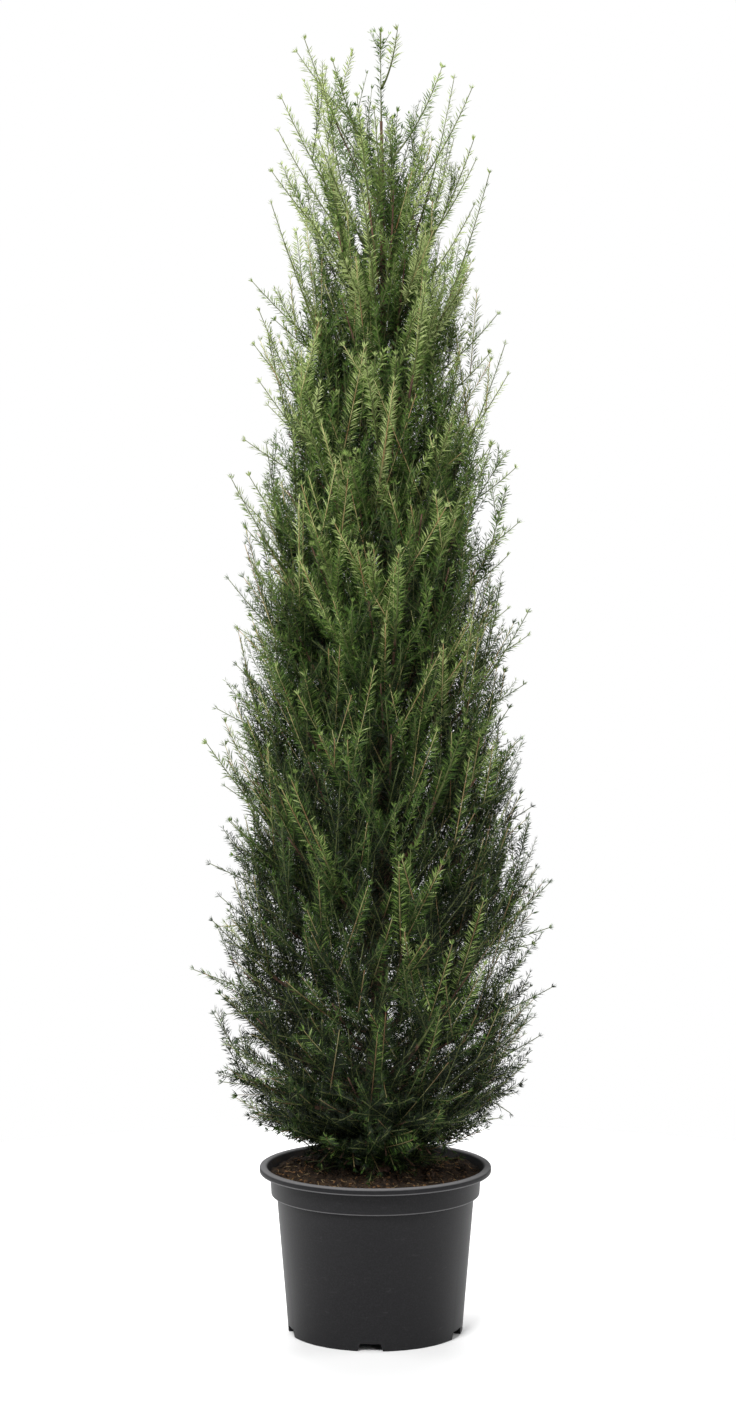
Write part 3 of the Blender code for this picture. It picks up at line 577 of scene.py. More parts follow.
dark_chips = litter_finish("dark_chips", (0.014, 0.008, 0.005), (0.062, 0.036, 0.019))
bark_chips = litter_finish("bark_chips", (0.075, 0.036, 0.014), (0.220, 0.115, 0.045))
straw = litter_finish("straw", (0.210, 0.140, 0.062), (0.420, 0.310, 0.170))
for name, chips, size, finish, seed in (("peat_crumbs", 2300, 0.0030, dark_chips, 21),
                                        ("bark_bits", 560, 0.0034, bark_chips, 22)):
    dress(add_piece(name, *flakes(chips, size, seed), finish, smooth=False), "soil")
dress(add_piece("straws", *straws(90, 23), straw), "soil")

# %% [markdown]
# ## The trunk and its bark
#
# Yew bark is red-brown and scales off in thin upright strips. The trunk is a tube whose middle
# sways a little and whose radius tapers, with a flare at the foot. The scales are relief on that
# tube: ripples squeezed round the trunk and stretched along it, cut off at the top so that plates
# with sharp edges stand up.

# %% The trunk's rule
PLANT_TOP = 2.006
TRUNK_TOP = 1.862
TRUNK_RADIUS = 0.0150
TRUNK_TIP_RADIUS = 0.0022
TRUNK_TAPER = 0.9
FLARE = 0.0095
FLARE_HEIGHT = 0.020
LEAN = 0.007
SWAY = 0.009
SWAY_DEPTH = 0.005
TRUNK_RINGS = 320
TRUNK_SIDES = 36
TRUNK_OVERRUN = 0.004
BARK_DEPTH = 0.10
STRIP_WIDTH = 0.0110
FLECK_WIDTH = 0.0045


def trunk_axis(height):
    """The trunk's middle: a small lean, half a wave of sway across and a whole one in depth."""
    share = (np.asarray(height) - SOIL_HEIGHT) / (PLANT_TOP - SOIL_HEIGHT)
    x = LEAN * share + SWAY * np.sin(pi * share)
    y = SWAY_DEPTH * np.sin(2 * pi * share)
    return np.stack([x, y, np.asarray(height) + 0.0 * share], axis=-1)


def trunk_radius(height):
    """An even taper from foot to tip, plus a flare that fades above the soil."""
    share = np.clip((height - SOIL_HEIGHT) / (TRUNK_TOP - SOIL_HEIGHT), 0.0, 1.0)
    taper = TRUNK_TIP_RADIUS + (TRUNK_RADIUS - TRUNK_TIP_RADIUS) * (1 - share) ** TRUNK_TAPER
    return taper + FLARE * np.exp(-np.maximum(height - SOIL_HEIGHT, 0.0) / FLARE_HEIGHT)


def bark_relief(points, radii, seed):
    """Upright scales: long thin ripples, with all above a level pressed flat, as plates are."""
    strips = ripples(points * np.array([1.0, 1.0, 0.16]), STRIP_WIDTH, seed)
    flecks = ripples(points * np.array([1.0, 1.0, 0.45]), FLECK_WIDTH, seed + 1)
    return radii * BARK_DEPTH * (np.clip(strips, -1.4, 0.35) + 0.22 * flecks)


def trunk_surface():
    """The trunk's tube with each point pushed out by the bark's relief."""
    heights = np.linspace(SOIL_HEIGHT - TRUNK_OVERRUN, TRUNK_TOP + TRUNK_OVERRUN, TRUNK_RINGS)
    path = trunk_axis(heights)
    points, faces = tubes(path[None], trunk_radius(heights)[None], TRUNK_SIDES)
    middle = np.repeat(path, TRUNK_SIDES, axis=0)
    radii = np.repeat(trunk_radius(heights), TRUNK_SIDES)
    out = (points - middle) / radii[:, None]
    return points + along(bark_relief(points, radii, 31), out), faces


bark = Finish("yew_bark", specular_ior_level=0.3)
strips = bark.noise(120.0, detail=6.0, stretch=(1.0, 1.0, 0.14), roughness=0.6)
patches = bark.noise(26.0, detail=3.0, stretch=(1.0, 1.0, 0.4))
red = bark.node("ShaderNodeValToRGB", {"stops": [
    (0.32, (0.030, 0.014, 0.010)),
    (0.50, (0.105, 0.050, 0.033)),
    (0.64, (0.190, 0.105, 0.072)),
    (0.78, (0.270, 0.185, 0.135)),
]}, strips)
patched = bark.mix(patches * 0.5, red, (0.085, 0.060, 0.044))
bark.set(base_color=patched, roughness=0.68 + strips * 0.28)
bark.bump(strips, distance=0.0012)
dress(add_piece("trunk_bark", *trunk_surface(), bark), "bark", "trunk")

# %% [markdown]
# ## The boughs
#
# The boughs leave the trunk in a golden-angle spiral, the way shoots do on most plants, and bend up
# to a tip on the crown's outline. This is the same rule, with the same seed, that made the CAD
# boughs, so each bough here lies where its CAD node is. A table of heights and radii describes the
# outline: wide near the soil and slender above.

# %% The crown's rule
REACH_HEIGHTS = (0.262, 0.300, 0.340, 0.420, 0.520, 0.900, 1.300, 1.700, 1.900, 1.960, 1.990, 2.006)
REACH_RADII = (0.090, 0.130, 0.215, 0.262, 0.289, 0.262, 0.226, 0.184, 0.162, 0.152, 0.118, 0.040)
LEAN_HEIGHTS = (0.300, 0.340, 0.500, 0.900, 1.300, 1.700, 1.985)
LEAN_ANGLES = (98.0, 84.0, 62.0, 46.0, 36.0, 28.0, 23.0)
GOLDEN_ANGLE = radians(137.508)
FIRST_TURN = radians(-94.0)
TURN_VARIES = 0.12
REACH_VARIES = (0.95, 1.02)
LEAN_VARIES = 2.0
LOWEST_ROOT = 0.034
ROOT_SHARE = 0.9
BEND_OUT = 0.52
BEND_UP = 0.30
ARCH_UP = 0.90
SKIRT_COUNT = 4
SKIRT_TIP_HEIGHTS = (0.286, 0.312)
BRANCH_COUNT = 33
BRANCH_TIP_HEIGHTS = (0.352, 1.992)
LIMB_SHARE = 0.40
LIMB_TAPER = 0.8
ABOVE_FLARE = 0.100
STEM_TIP_RADIUS = 0.0012
LEADER_GAP = 0.004
SEED = 1753


def crown_reach(height):
    """How far from the middle the crown's furthest tips stand at a height."""
    return np.interp(height, REACH_HEIGHTS, REACH_RADII)


def bough_curves(tips, turn, reach, lean):
    """Curves from a root on the trunk, over a bend outwards, to a tip at a height and a reach."""
    out = np.stack([np.cos(turn), np.sin(turn), 0.0 * turn], axis=-1)
    roots = np.maximum(tips - reach / np.tan(lean), SOIL_HEIGHT + LOWEST_ROOT)
    rise = tips - roots
    start = trunk_radius(roots) * ROOT_SHARE
    root = trunk_axis(roots) + along(start, out)
    lift = np.where(rise > 0, BEND_UP * rise, -ARCH_UP * rise)
    bend = root + along(BEND_OUT * (reach - start), out) + along(lift, UP)
    tip = np.concatenate([(out * reach[:, None])[:, :2], tips[:, None]], axis=-1)
    return np.stack([root, bend, tip], axis=1)


def main_boughs():
    """The boughs that the CAD has too, drawn with the same seed: the skirt, then the crown's."""
    tips = np.concatenate([np.linspace(*SKIRT_TIP_HEIGHTS, SKIRT_COUNT),
                           np.linspace(*BRANCH_TIP_HEIGHTS, BRANCH_COUNT)])
    low = [-TURN_VARIES, REACH_VARIES[0], -LEAN_VARIES]
    high = [TURN_VARIES, REACH_VARIES[1], LEAN_VARIES]
    draws = np.random.default_rng(SEED).uniform(low, high, (len(tips), 3))
    turn = FIRST_TURN + np.arange(len(tips)) * GOLDEN_ANGLE + draws[:, 0]
    lean = np.radians(np.interp(tips, LEAN_HEIGHTS, LEAN_ANGLES) + draws[:, 2])
    return bough_curves(tips, turn, crown_reach(tips) * draws[:, 1], lean)


boughs = main_boughs()
thick_at = np.maximum(boughs[:, 0, 2], SOIL_HEIGHT + ABOVE_FLARE)
bough_radii = np.append(LIMB_SHARE * trunk_radius(thick_at), TRUNK_TIP_RADIUS)
leader_foot, leader_tip = trunk_axis(TRUNK_TOP), trunk_axis(PLANT_TOP - LEADER_GAP)
leader = np.stack([leader_foot, (leader_foot + leader_tip) / 2, leader_tip])
leader_row = len(boughs)
boughs = np.concatenate([boughs, leader[None]])
print(len(boughs), "boughs, the lowest root at", round(float(boughs[:, 0, 2].min()), 3))

# %% Boughs with bark
BARE_SHARE = 0.62
BOUGH_RINGS = 26
BOUGH_SIDES = 9
ROOT_SWELL = 1.15
BOUGH_STRIPS = np.array([1.0, 1.0, 2.5])


def limb_radius(foot_radii, share):
    """The radius at a share of a limb's run: foot + (tip - foot) * share^taper."""
    return foot_radii + (STEM_TIP_RADIUS - foot_radii) * share ** LIMB_TAPER


def bough_surface():
    """Tubes from inside the trunk to where the bark turns green, with the bark's relief."""
    share = np.linspace(0.0, BARE_SHARE, BOUGH_RINGS)
    paths = bezier(boughs[:leader_row, None], share[None])
    foot = trunk_axis(paths[:, 0, 2])
    paths = np.concatenate([foot[:, None], paths], axis=1)
    taper = limb_radius(bough_radii[:leader_row, None], share)
    radii = np.concatenate([taper[:, :1] * ROOT_SWELL, taper], axis=1)
    points, faces = tubes(paths, radii, BOUGH_SIDES)
    middle = np.repeat(paths.reshape(-1, 3), BOUGH_SIDES, axis=0)
    away = np.repeat(radii.ravel(), BOUGH_SIDES)
    out = (points - middle) / away[:, None]
    return points + along(bark_relief(points * BOUGH_STRIPS, away, 41), out), faces


dress(add_piece("bough_bark", *bough_surface(), bark), "bark", *bough_nodes)

# %% [markdown]
# ## Shoots
#
# On the real yew each bough carries side shoots. Some of them lead: they stay unbranched, and
# their pale stem shows. The others carry shorter shoots, flat like a feather. The same rule makes
# both orders: a shoot leaves its parent at a share of its run, spreads from it by some 25 to 55
# degrees, and lifts towards the light. It is tried at several lengths and lifts, and the longest
# one that stays inside the crown is kept. Most shoots end inside a dense body, and about one in
# seven runs on to the outline, which gives the crown its fringe.

# %% Where a shoot may go
DENSE_HEIGHTS = (0.262, 0.300, 0.340, 0.420, 0.520, 0.650, 0.950,
                 1.300, 1.580, 1.740, 1.850, 1.930, 1.985, 2.006)
DENSE_RADII = (0.105, 0.135, 0.205, 0.240, 0.245, 0.229, 0.203,
               0.178, 0.130, 0.105, 0.092, 0.080, 0.055, 0.015)
LIFT_HEIGHTS = (0.30, 0.60, 1.20, 1.80)
HEADING_LIFTS = (0.03, 0.08, 0.06, 0.06)
TAIL_LIFT = 0.12
LENGTH_TRIES = (0.30, 0.42, 0.55, 0.70, 0.85, 1.0)
LIFT_TRIES = (0.0, 0.5, 1.2, 2.5)
EASED_HEIGHTS = (0.30, 0.60, 1.00)
EASED_LIFTS = (0.20, 0.45, 0.60)
LEAST_GAIN = 0.1
LEAST_SHARE = 0.05
FLOOR_GAP = 0.014
LIP_GAP = 0.012
BARK_GAP = 0.003
TESTED_SHARES = np.array([0.45, 0.70, 0.88, 1.0])
OUTLINE_SHARE = 0.97
DEEPEST = 0.4
FLAT_SHARE = 0.3
FLAT_AHEAD = 0.1


def inside(curves, outer):
    """Which shoots keep to their depth: -1 is deep inside, 0 the dense body, 1 the outline."""
    points = bezier(curves[:, None], TESTED_SHARES[None])
    away = np.hypot(points[..., 0], points[..., 1])
    height = points[..., 2]
    dense = np.interp(height, DENSE_HEIGHTS, DENSE_RADII)
    beyond = np.maximum(outer, 0.0)[:, None] * (crown_reach(height) * OUTLINE_SHARE - dense)
    allowed = dense * (1.0 + DEEPEST * np.minimum(outer, 0.0)[:, None]) + beyond
    floor = np.where(away < LIP_INNER_RADIUS - LIP_GAP, SOIL_HEIGHT, POT_HEIGHT) + FLOOR_GAP
    trunk_gap = np.linalg.norm((points - trunk_axis(height))[..., :2], axis=-1)
    clear = trunk_gap > np.where(height < TRUNK_TOP, trunk_radius(height) + BARK_GAP, 0.0)
    fits = (away < allowed) & (height > floor) & (height < PLANT_TOP) & clear
    return fits.all(axis=1)


def shoot_curves(roots, ways, lengths):
    """Curves that start along their way and lift towards their tip."""
    tails = unit(ways + TAIL_LIFT * UP)
    bends = roots + along(lengths * 0.5, ways)
    return np.stack([roots, bends, bends + along(lengths * 0.5, tails)], axis=1)


def longest_that_fit(roots, ways, lengths, outer):
    """Each shoot as long as its depth allows, lifted where that gains length, and which fit."""
    best = np.zeros(len(roots))
    aims = ways
    eased = np.interp(roots[:, 2], EASED_HEIGHTS, EASED_LIFTS)
    for lift in LIFT_TRIES:
        lifted = unit(ways + along(lift * eased, UP))
        reach = np.zeros(len(roots))
        for share in LENGTH_TRIES:
            fits = inside(shoot_curves(roots, lifted, lengths * share), outer)
            reach = np.where(fits, share, reach)
        gains = reach > best + LEAST_GAIN
        aims = np.where(gains[:, None], lifted, aims)
        best = np.where(gains, reach, best)
    return shoot_curves(roots, aims, lengths * np.maximum(best, LEAST_SHARE)), best > 0


def flat_side(curves, roll):
    """The direction across a shoot's feather: it faces outwards, but for a drawn roll."""
    way = heading(curves, np.full(len(curves), FLAT_SHARE))
    ahead = (curves[:, 0] + way * FLAT_AHEAD) * np.array([1.0, 1.0, 0.0])
    flat = unit(np.cross(way, unit(ahead)))
    return turned(roll, flat, np.cross(way, flat))


print("At 0.9 m the dense body reaches", np.interp(0.9, DENSE_HEIGHTS, DENSE_RADII), "m")

# %% Young wood and green wood
def twig_finish(name, roughness):
    """Smooth young bark, with fine lines along the twig in its gloss and its relief."""
    wood = Finish(name, specular_ior_level=0.35)
    lines = wood.noise(500.0, detail=3.0, stretch=(1.0, 1.0, 0.2))
    wood.set(roughness=roughness + lines * 0.3)
    wood.bump(lines, distance=0.0003)
    return wood


young_wood = twig_finish("young_wood", 0.55)
tint = young_wood.noise(24.0, detail=3.0).between(0.38, 0.62)
height = young_wood.node("ShaderNodeSeparateXYZ", {}, young_wood.place, output="Z")
shaded_wood = young_wood.mix(tint, (0.130, 0.070, 0.032), (0.200, 0.190, 0.080))
sunlit_wood = young_wood.mix(tint, (0.300, 0.165, 0.075), (0.450, 0.440, 0.190))
young_wood.set(base_color=young_wood.mix(height.between(0.35, 1.25), shaded_wood, sunlit_wood))
green_wood = twig_finish("green_wood", 0.50)
tint = green_wood.noise(60.0, detail=3.0)
green_wood.set(base_color=green_wood.mix(tint, (0.050, 0.070, 0.018), (0.120, 0.135, 0.042)))
print("Leading shoots are straw brown, paler higher up, and the other twigs are green")

# %% Lesser boughs and fringe shoots between the main boughs
LESSER_COUNT = 92
LESSER_TIP_HEIGHTS = (0.345, 1.780)
FRINGE_COUNT = 165
FRINGE_TIP_HEIGHTS = (0.325, 1.995)
FOOT_COUNT = 40
FOOT_TIP_HEIGHTS = (0.272, 0.322)
LESSER_REACH = 0.90
LESSER_FIRST_TURN = radians(40.0)
LESSER_LEANS = (-8.0, 5.0)
FRINGE_FIRST_TURN = radians(75.0)
FRINGE_LEANS = (4.0, 28.0)
SPIRAL_TURN_VARIES = 0.3
SPIRAL_REACHES = (0.86, 1.0)
STEM_RINGS = 14
STEM_SIDES = 5


def even_heights(low, high, count):
    """Heights that fill the outline evenly: closer together where the crown is wide."""
    grid = np.linspace(low, high, 400)
    filled = np.cumsum(crown_reach(grid))
    return np.interp(np.linspace(filled[0], filled[-1], count), filled, grid)


def spiral_boughs(tips, reaches, first_turn, leans, seed):
    """Thin boughs by the same rule as the main ones, in a golden-angle spiral of their own."""
    rng = np.random.default_rng(seed)
    count = len(tips)
    varied = rng.uniform(-SPIRAL_TURN_VARIES, SPIRAL_TURN_VARIES, count)
    turn = first_turn + np.arange(count) * GOLDEN_ANGLE + varied
    angle = np.interp(tips, LEAN_HEIGHTS, LEAN_ANGLES) + rng.uniform(*leans, count)
    reach = reaches * rng.uniform(*SPIRAL_REACHES, count)
    return bough_curves(tips, turn, reach, np.radians(angle))


def thinning_tubes(curves, thick, thin, rings, sides):
    """Tubes along curves that thin evenly from root to tip."""
    share = np.linspace(0.0, 1.0, rings)
    radii = thick + (thin - thick) * share + np.zeros((len(curves), 1))
    return tubes(bezier(curves[:, None], share[None]), radii, sides)


foot_tips = np.linspace(*FOOT_TIP_HEIGHTS, FOOT_COUNT)
lesser_tips = np.append(foot_tips, even_heights(*LESSER_TIP_HEIGHTS, LESSER_COUNT))
lesser_reach = LESSER_REACH * np.interp(lesser_tips, DENSE_HEIGHTS, DENSE_RADII)
lesser = spiral_boughs(lesser_tips, lesser_reach, LESSER_FIRST_TURN, LESSER_LEANS, 51)
fringe_tips = even_heights(*FRINGE_TIP_HEIGHTS, FRINGE_COUNT)
fringe = spiral_boughs(fringe_tips, crown_reach(fringe_tips), FRINGE_FIRST_TURN, FRINGE_LEANS, 52)
for name, curves, thick, thin, finish in (("lesser_boughs", lesser, 0.0026, 0.0010, bark),
                                          ("fringe_stems", fringe, 0.0019, 0.0006, green_wood)):
    piece = add_piece(name, *thinning_tubes(curves, thick, thin, STEM_RINGS, STEM_SIDES), finish)
    dress(piece, "foliage", *foliage_nodes)
MAIN, LESSER, FRINGE = range(3)
stems = np.concatenate([boughs, lesser, fringe])
kind_of_stem = np.repeat([MAIN, LESSER, FRINGE], [len(boughs), len(lesser), len(fringe)])

# %% Side shoots on the boughs
SHOOT_SPACINGS = (0.0270, 0.0300, 0.0600)
SHOOT_SPANS = np.array([(0.06, 0.95), (0.06, 0.97), (0.30, 0.86)])
PLACE_VARIES = (0.2, 0.8)
SHOOT_TURN_VARIES = 0.5
SHOOT_SPREADS = (26.0, 54.0)
SHOOT_ROLL = 0.8
UPRIGHT = 0.9
SHOOT_LENGTH = 0.250
LENGTH_HEIGHTS = (0.3, 0.5, 1.3, 2.0)
LENGTH_FACTORS = (0.75, 1.0, 1.0, 0.90)
LENGTH_VARIES = (0.75, 1.15)
FRINGE_SHARE = 0.14
FRINGE_DEPTHS = (0.4, 1.0)
OUTWARD_POWER = 0.55
OUTER_HEIGHTS = (0.60, 1.30)
OUTER_LIMITS = (0.35, 0.12)
THINNED_HEIGHTS = (1.30, 1.65, 1.80, 1.90, 2.00)
KEPT_SHARES = (1.0, 0.72, 0.26, 0.10, 0.06)


def shoot_starts(rng):
    """Where side shoots leave the stems: each one's stem, its number there and its share."""
    runs = np.linalg.norm(stems[:, 2] - stems[:, 0], axis=-1)
    counts = np.ceil(runs / np.take(SHOOT_SPACINGS, kind_of_stem)).astype(int)
    parent, order = dealt(counts)
    first, last = SHOOT_SPANS[kind_of_stem[parent]].T
    drawn = order + rng.uniform(*PLACE_VARIES, len(order))
    return parent, order, first + (last - first) * drawn / counts[parent]


def shoot_aims(heights, way, order, rng):
    """Aims cos(s) * way + sin(s) * ray + lift at a spread s, each ray a golden angle on."""
    upright = np.abs(way[:, 2:]) >= UPRIGHT
    across = unit(np.cross(np.where(upright, np.array([1.0, 0.0, 0.0]), UP), way))
    varied = rng.uniform(-SHOOT_TURN_VARIES, SHOOT_TURN_VARIES, len(order))
    ray = turned(order * GOLDEN_ANGLE + varied, across, np.cross(way, across))
    spread = np.radians(rng.uniform(*SHOOT_SPREADS, len(order)))
    lift = along(np.interp(heights, LIFT_HEIGHTS, HEADING_LIFTS), UP)
    return unit(turned(spread, way, ray) + lift)


def shoot_depths(heights, rng):
    """How far out each shoot may end: crowded towards the body's edge, and some in the fringe."""
    count = len(heights)
    furthest = np.interp(heights, OUTER_HEIGHTS, OUTER_LIMITS)
    in_body = (furthest + 1.0) * rng.uniform(size=count) ** OUTWARD_POWER - 1.0
    in_fringe = rng.uniform(size=count) < FRINGE_SHARE
    return np.where(in_fringe, rng.uniform(*FRINGE_DEPTHS, count), in_body)


def side_shoots(seed):
    """Shoots of the first order: their curves, flat sides and depths."""
    rng = np.random.default_rng(seed)
    parent, order, share = shoot_starts(rng)
    root = bezier(stems[parent], share)
    tall = root[:, 2]
    aim = shoot_aims(tall, heading(stems[parent], share), order, rng)
    long = SHOOT_LENGTH * np.interp(tall, LENGTH_HEIGHTS, LENGTH_FACTORS)
    long = long * rng.uniform(*LENGTH_VARIES, len(order)) * (1.1 - 0.50 * share)
    outer = shoot_depths(tall, rng)
    curves, fits = longest_that_fit(root, aim, long, outer)
    thinned = np.interp(tall, THINNED_HEIGHTS, KEPT_SHARES)
    kept = fits & (rng.uniform(size=len(order)) < thinned)
    roll = rng.uniform(-SHOOT_ROLL, SHOOT_ROLL, len(order))
    return curves[kept], flat_side(curves, roll)[kept], outer[kept]


FOOT_SHOOT_COUNT = 150
FOOT_ROOTS = (0.262, 0.330)
FOOT_RISES = (-16.0, 45.0)
FOOT_LENGTHS = (0.050, 0.120)
FOOT_ROOT_SHARE = 0.8
FOOT_DEPTH = -0.5


def foot_shoots(count, seed):
    """Short shoots that hide the trunk's foot: root + length * (cos e * out + sin e * up)."""
    rng = np.random.default_rng(seed)
    turn = np.arange(count) * GOLDEN_ANGLE
    out = np.stack([np.cos(turn), np.sin(turn), 0.0 * turn], axis=-1)
    tall = rng.uniform(*FOOT_ROOTS, count)
    root = trunk_axis(tall) + along(trunk_radius(tall) * FOOT_ROOT_SHARE, out)
    rise = np.radians(rng.uniform(*FOOT_RISES, count))
    curves = shoot_curves(root, turned(rise, out, UP), rng.uniform(*FOOT_LENGTHS, count))
    roll = rng.uniform(-SHOOT_ROLL, SHOOT_ROLL, count)
    return curves, flat_side(curves, roll), np.full(count, FOOT_DEPTH)


both = zip(side_shoots(101), foot_shoots(FOOT_SHOOT_COUNT, 105))
side_curves, side_flats, side_outer = (np.concatenate(pair) for pair in both)
print(len(side_curves), "side shoots")

# %% Leading shoots
LEADING_SHARE = 0.55
LEADING_DEPTH = -0.15
draw = np.random.default_rng(103)
leads = (side_outer > LEADING_DEPTH) & (draw.uniform(size=len(side_curves)) < LEADING_SHARE)
print(int(leads.sum()), "shoots lead: unbranched, with a pale stem and needles that lie flat")

# %% Feathers on the other side shoots
FEATHER_COUNT = 3
FEATHER_FIRST = 0.10
FEATHER_SPAN = 0.74
FEATHER_PLACE_VARIES = (0.1, 0.9)
FEATHER_TILT = 0.6
FEATHER_SPREADS = (26.0, 44.0)
FEATHER_LIFT = 0.10
FEATHER_SHARES = (0.42, 0.72)
FEATHER_LEAST = 0.012
FEATHER_DEPTH_VARIES = (-0.2, 0.15)
FEATHER_OUTERMOST = 0.8
FEATHER_ROLL = 0.9


def left_and_right(order):
    """1 for even numbers and -1 for odd ones."""
    return np.where(order % 2 == 0, 1.0, -1.0)


def feathers(curves, flats, outer, seed):
    """Shoots of the second order, in the flat of their parent, left and right in turn."""
    rng = np.random.default_rng(seed)
    parent, order = dealt(np.full(len(curves), FEATHER_COUNT))
    count = len(order)
    drawn = order + rng.uniform(*FEATHER_PLACE_VARIES, count)
    share = FEATHER_FIRST + FEATHER_SPAN * drawn / FEATHER_COUNT
    way = heading(curves[parent], share)
    flat = squared(flats[parent], way)
    tilt = rng.uniform(-FEATHER_TILT, FEATHER_TILT, count)
    ray = turned(tilt, along(left_and_right(order), flat), np.cross(way, flat))
    spread = np.radians(rng.uniform(*FEATHER_SPREADS, count))
    aim = unit(turned(spread, way, ray) + FEATHER_LIFT * UP)
    run = np.linalg.norm(curves[parent, 2] - curves[parent, 0], axis=-1)
    long = run * rng.uniform(*FEATHER_SHARES, count) * (1.05 - 0.5 * share) + FEATHER_LEAST
    limit = outer[parent] + rng.uniform(*FEATHER_DEPTH_VARIES, count)
    limit = np.clip(limit, -1.0, FEATHER_OUTERMOST)
    shoots, fits = longest_that_fit(bezier(curves[parent], share), aim, long, limit)
    roll = rng.uniform(-FEATHER_ROLL, FEATHER_ROLL, count)
    return shoots[fits], flat_side(shoots, roll)[fits], limit[fits]


feather_curves, feather_flats, feather_outer = feathers(
    side_curves[~leads], side_flats[~leads], side_outer[~leads], 102)
print(len(feather_curves), "feathers")

# %% Twigs as thin tubes
END_RADIUS = 0.0006
END_TAPER = 2.2
END_OVERLAP = 0.01
END_RINGS = 16
END_SIDES = 6
TWIG_SIDES = 3


def bough_ends():
    """The young end of each bough, whose radius falls as left^taper from the bark to the tip."""
    share = np.linspace(BARE_SHARE - END_OVERLAP, 1.0, END_RINGS)
    thick = limb_radius(bough_radii[:, None], share[0])
    left = (1.0 - share) / (1.0 - share[0])
    radii = END_RADIUS + (thick - END_RADIUS) * left ** END_TAPER
    paths = bezier(boughs[:leader_row, None], share[None])
    whole_leader = bezier(boughs[leader_row:, None], np.linspace(0.0, 1.0, END_RINGS)[None])
    return tubes(np.concatenate([paths, whole_leader]), radii, END_SIDES)


dress(add_piece("bough_ends", *bough_ends(), green_wood), "foliage", *foliage_nodes)
for name, curves, thick, thin, rings, finish in (
        ("leading_twigs", side_curves[leads], 0.0009, 0.0006, 6, young_wood),
        ("side_shoot_twigs", side_curves[~leads], 0.0010, 0.0006, 4, green_wood),
        ("feather_twigs", feather_curves, 0.0008, 0.0004, 3, green_wood)):
    piece = add_piece(name, *thinning_tubes(curves, thick, thin, rings, TWIG_SIDES), finish)
    dress(piece, "foliage", *foliage_nodes)

# %% [markdown]
# ## Needles
#
# This yew's needles are flat, pointed and 10 to 20 mm long, and they stand left and right along the
# shoot like the barbs of a feather, leaning forward more and more towards the tip. More than a
# third of a million of them would be far too heavy as detailed shapes, so each is a kite of two
# triangles with a fold along its midrib. One array sum places them all. Sprays differ in colour,
# from near black inside to yellow-green at the top: the dark inside and low down is painted shade,
# and the paler outside and top is painted light over the yellow-green of young growth. A plain
# finish for each tone is dealt out by shoot, with a small draw for each needle.

# %% The needle array
NEEDLE_LENGTH = 0.0160
LENGTH_PLACES = (0.0, 0.2, 0.7, 1.0)
LENGTH_BY_PLACE = (0.75, 1.0, 0.92, 0.58)
NEEDLE_LENGTH_VARIES = (0.82, 1.10)
NEEDLE_WIDTH_VARIES = (0.75, 1.10)
NEEDLE_SPACING = 0.00185
NEEDLE_LEAN_PLACES = (0.0, 0.75, 0.93, 1.0)
NEEDLE_LEANS = (60.0, 52.0, 36.0, 12.0)
NEEDLE_LEAN_VARIES = 0.14
NEEDLE_RISE = 0.12
NEEDLE_RISE_VARIES = 0.10
NEEDLE_TWIST = 0.35
NEEDLE_FOLD = 0.30
WIDEST_AT = 0.46
NEEDLE_ARCH = 0.03
NEEDLE_DROOP = 0.06
ROSETTE_RUN = 0.0020
ROSETTE_ROLL = 2.0
ROSETTE_LEANS = (0.10, 0.95)


def needle_places(curves, start, spacing, tufts, rng):
    """Each needle's shoot, number and share of the run; the last few crowd round the bud."""
    run = np.linalg.norm(curves[:, 1] - curves[:, 0], axis=-1)
    run = run + np.linalg.norm(curves[:, 2] - curves[:, 1], axis=-1)
    counts = (run * (1 - start) / spacing).astype(int) + tufts
    shoot, order = dealt(counts)
    drawn = order + rng.uniform(*PLACE_VARIES, len(order))
    share = start[shoot] + (1 - start[shoot]) * drawn / counts[shoot]
    rosette = counts[shoot] - order <= tufts[shoot]
    at_bud = 1.0 - rng.uniform(0.0, ROSETTE_RUN, len(order)) / run[shoot]
    return shoot, order, np.where(rosette, at_bud, share), rosette


def needle_leans(share, rosette, rng):
    """The angle between needle and shoot: less and less towards the tip, and free in a rosette."""
    lean = np.radians(np.interp(share, NEEDLE_LEAN_PLACES, NEEDLE_LEANS))
    free = rng.uniform(*ROSETTE_LEANS, len(share))
    varied = lean + rng.normal(scale=NEEDLE_LEAN_VARIES, size=len(share))
    return np.where(rosette, free, varied)


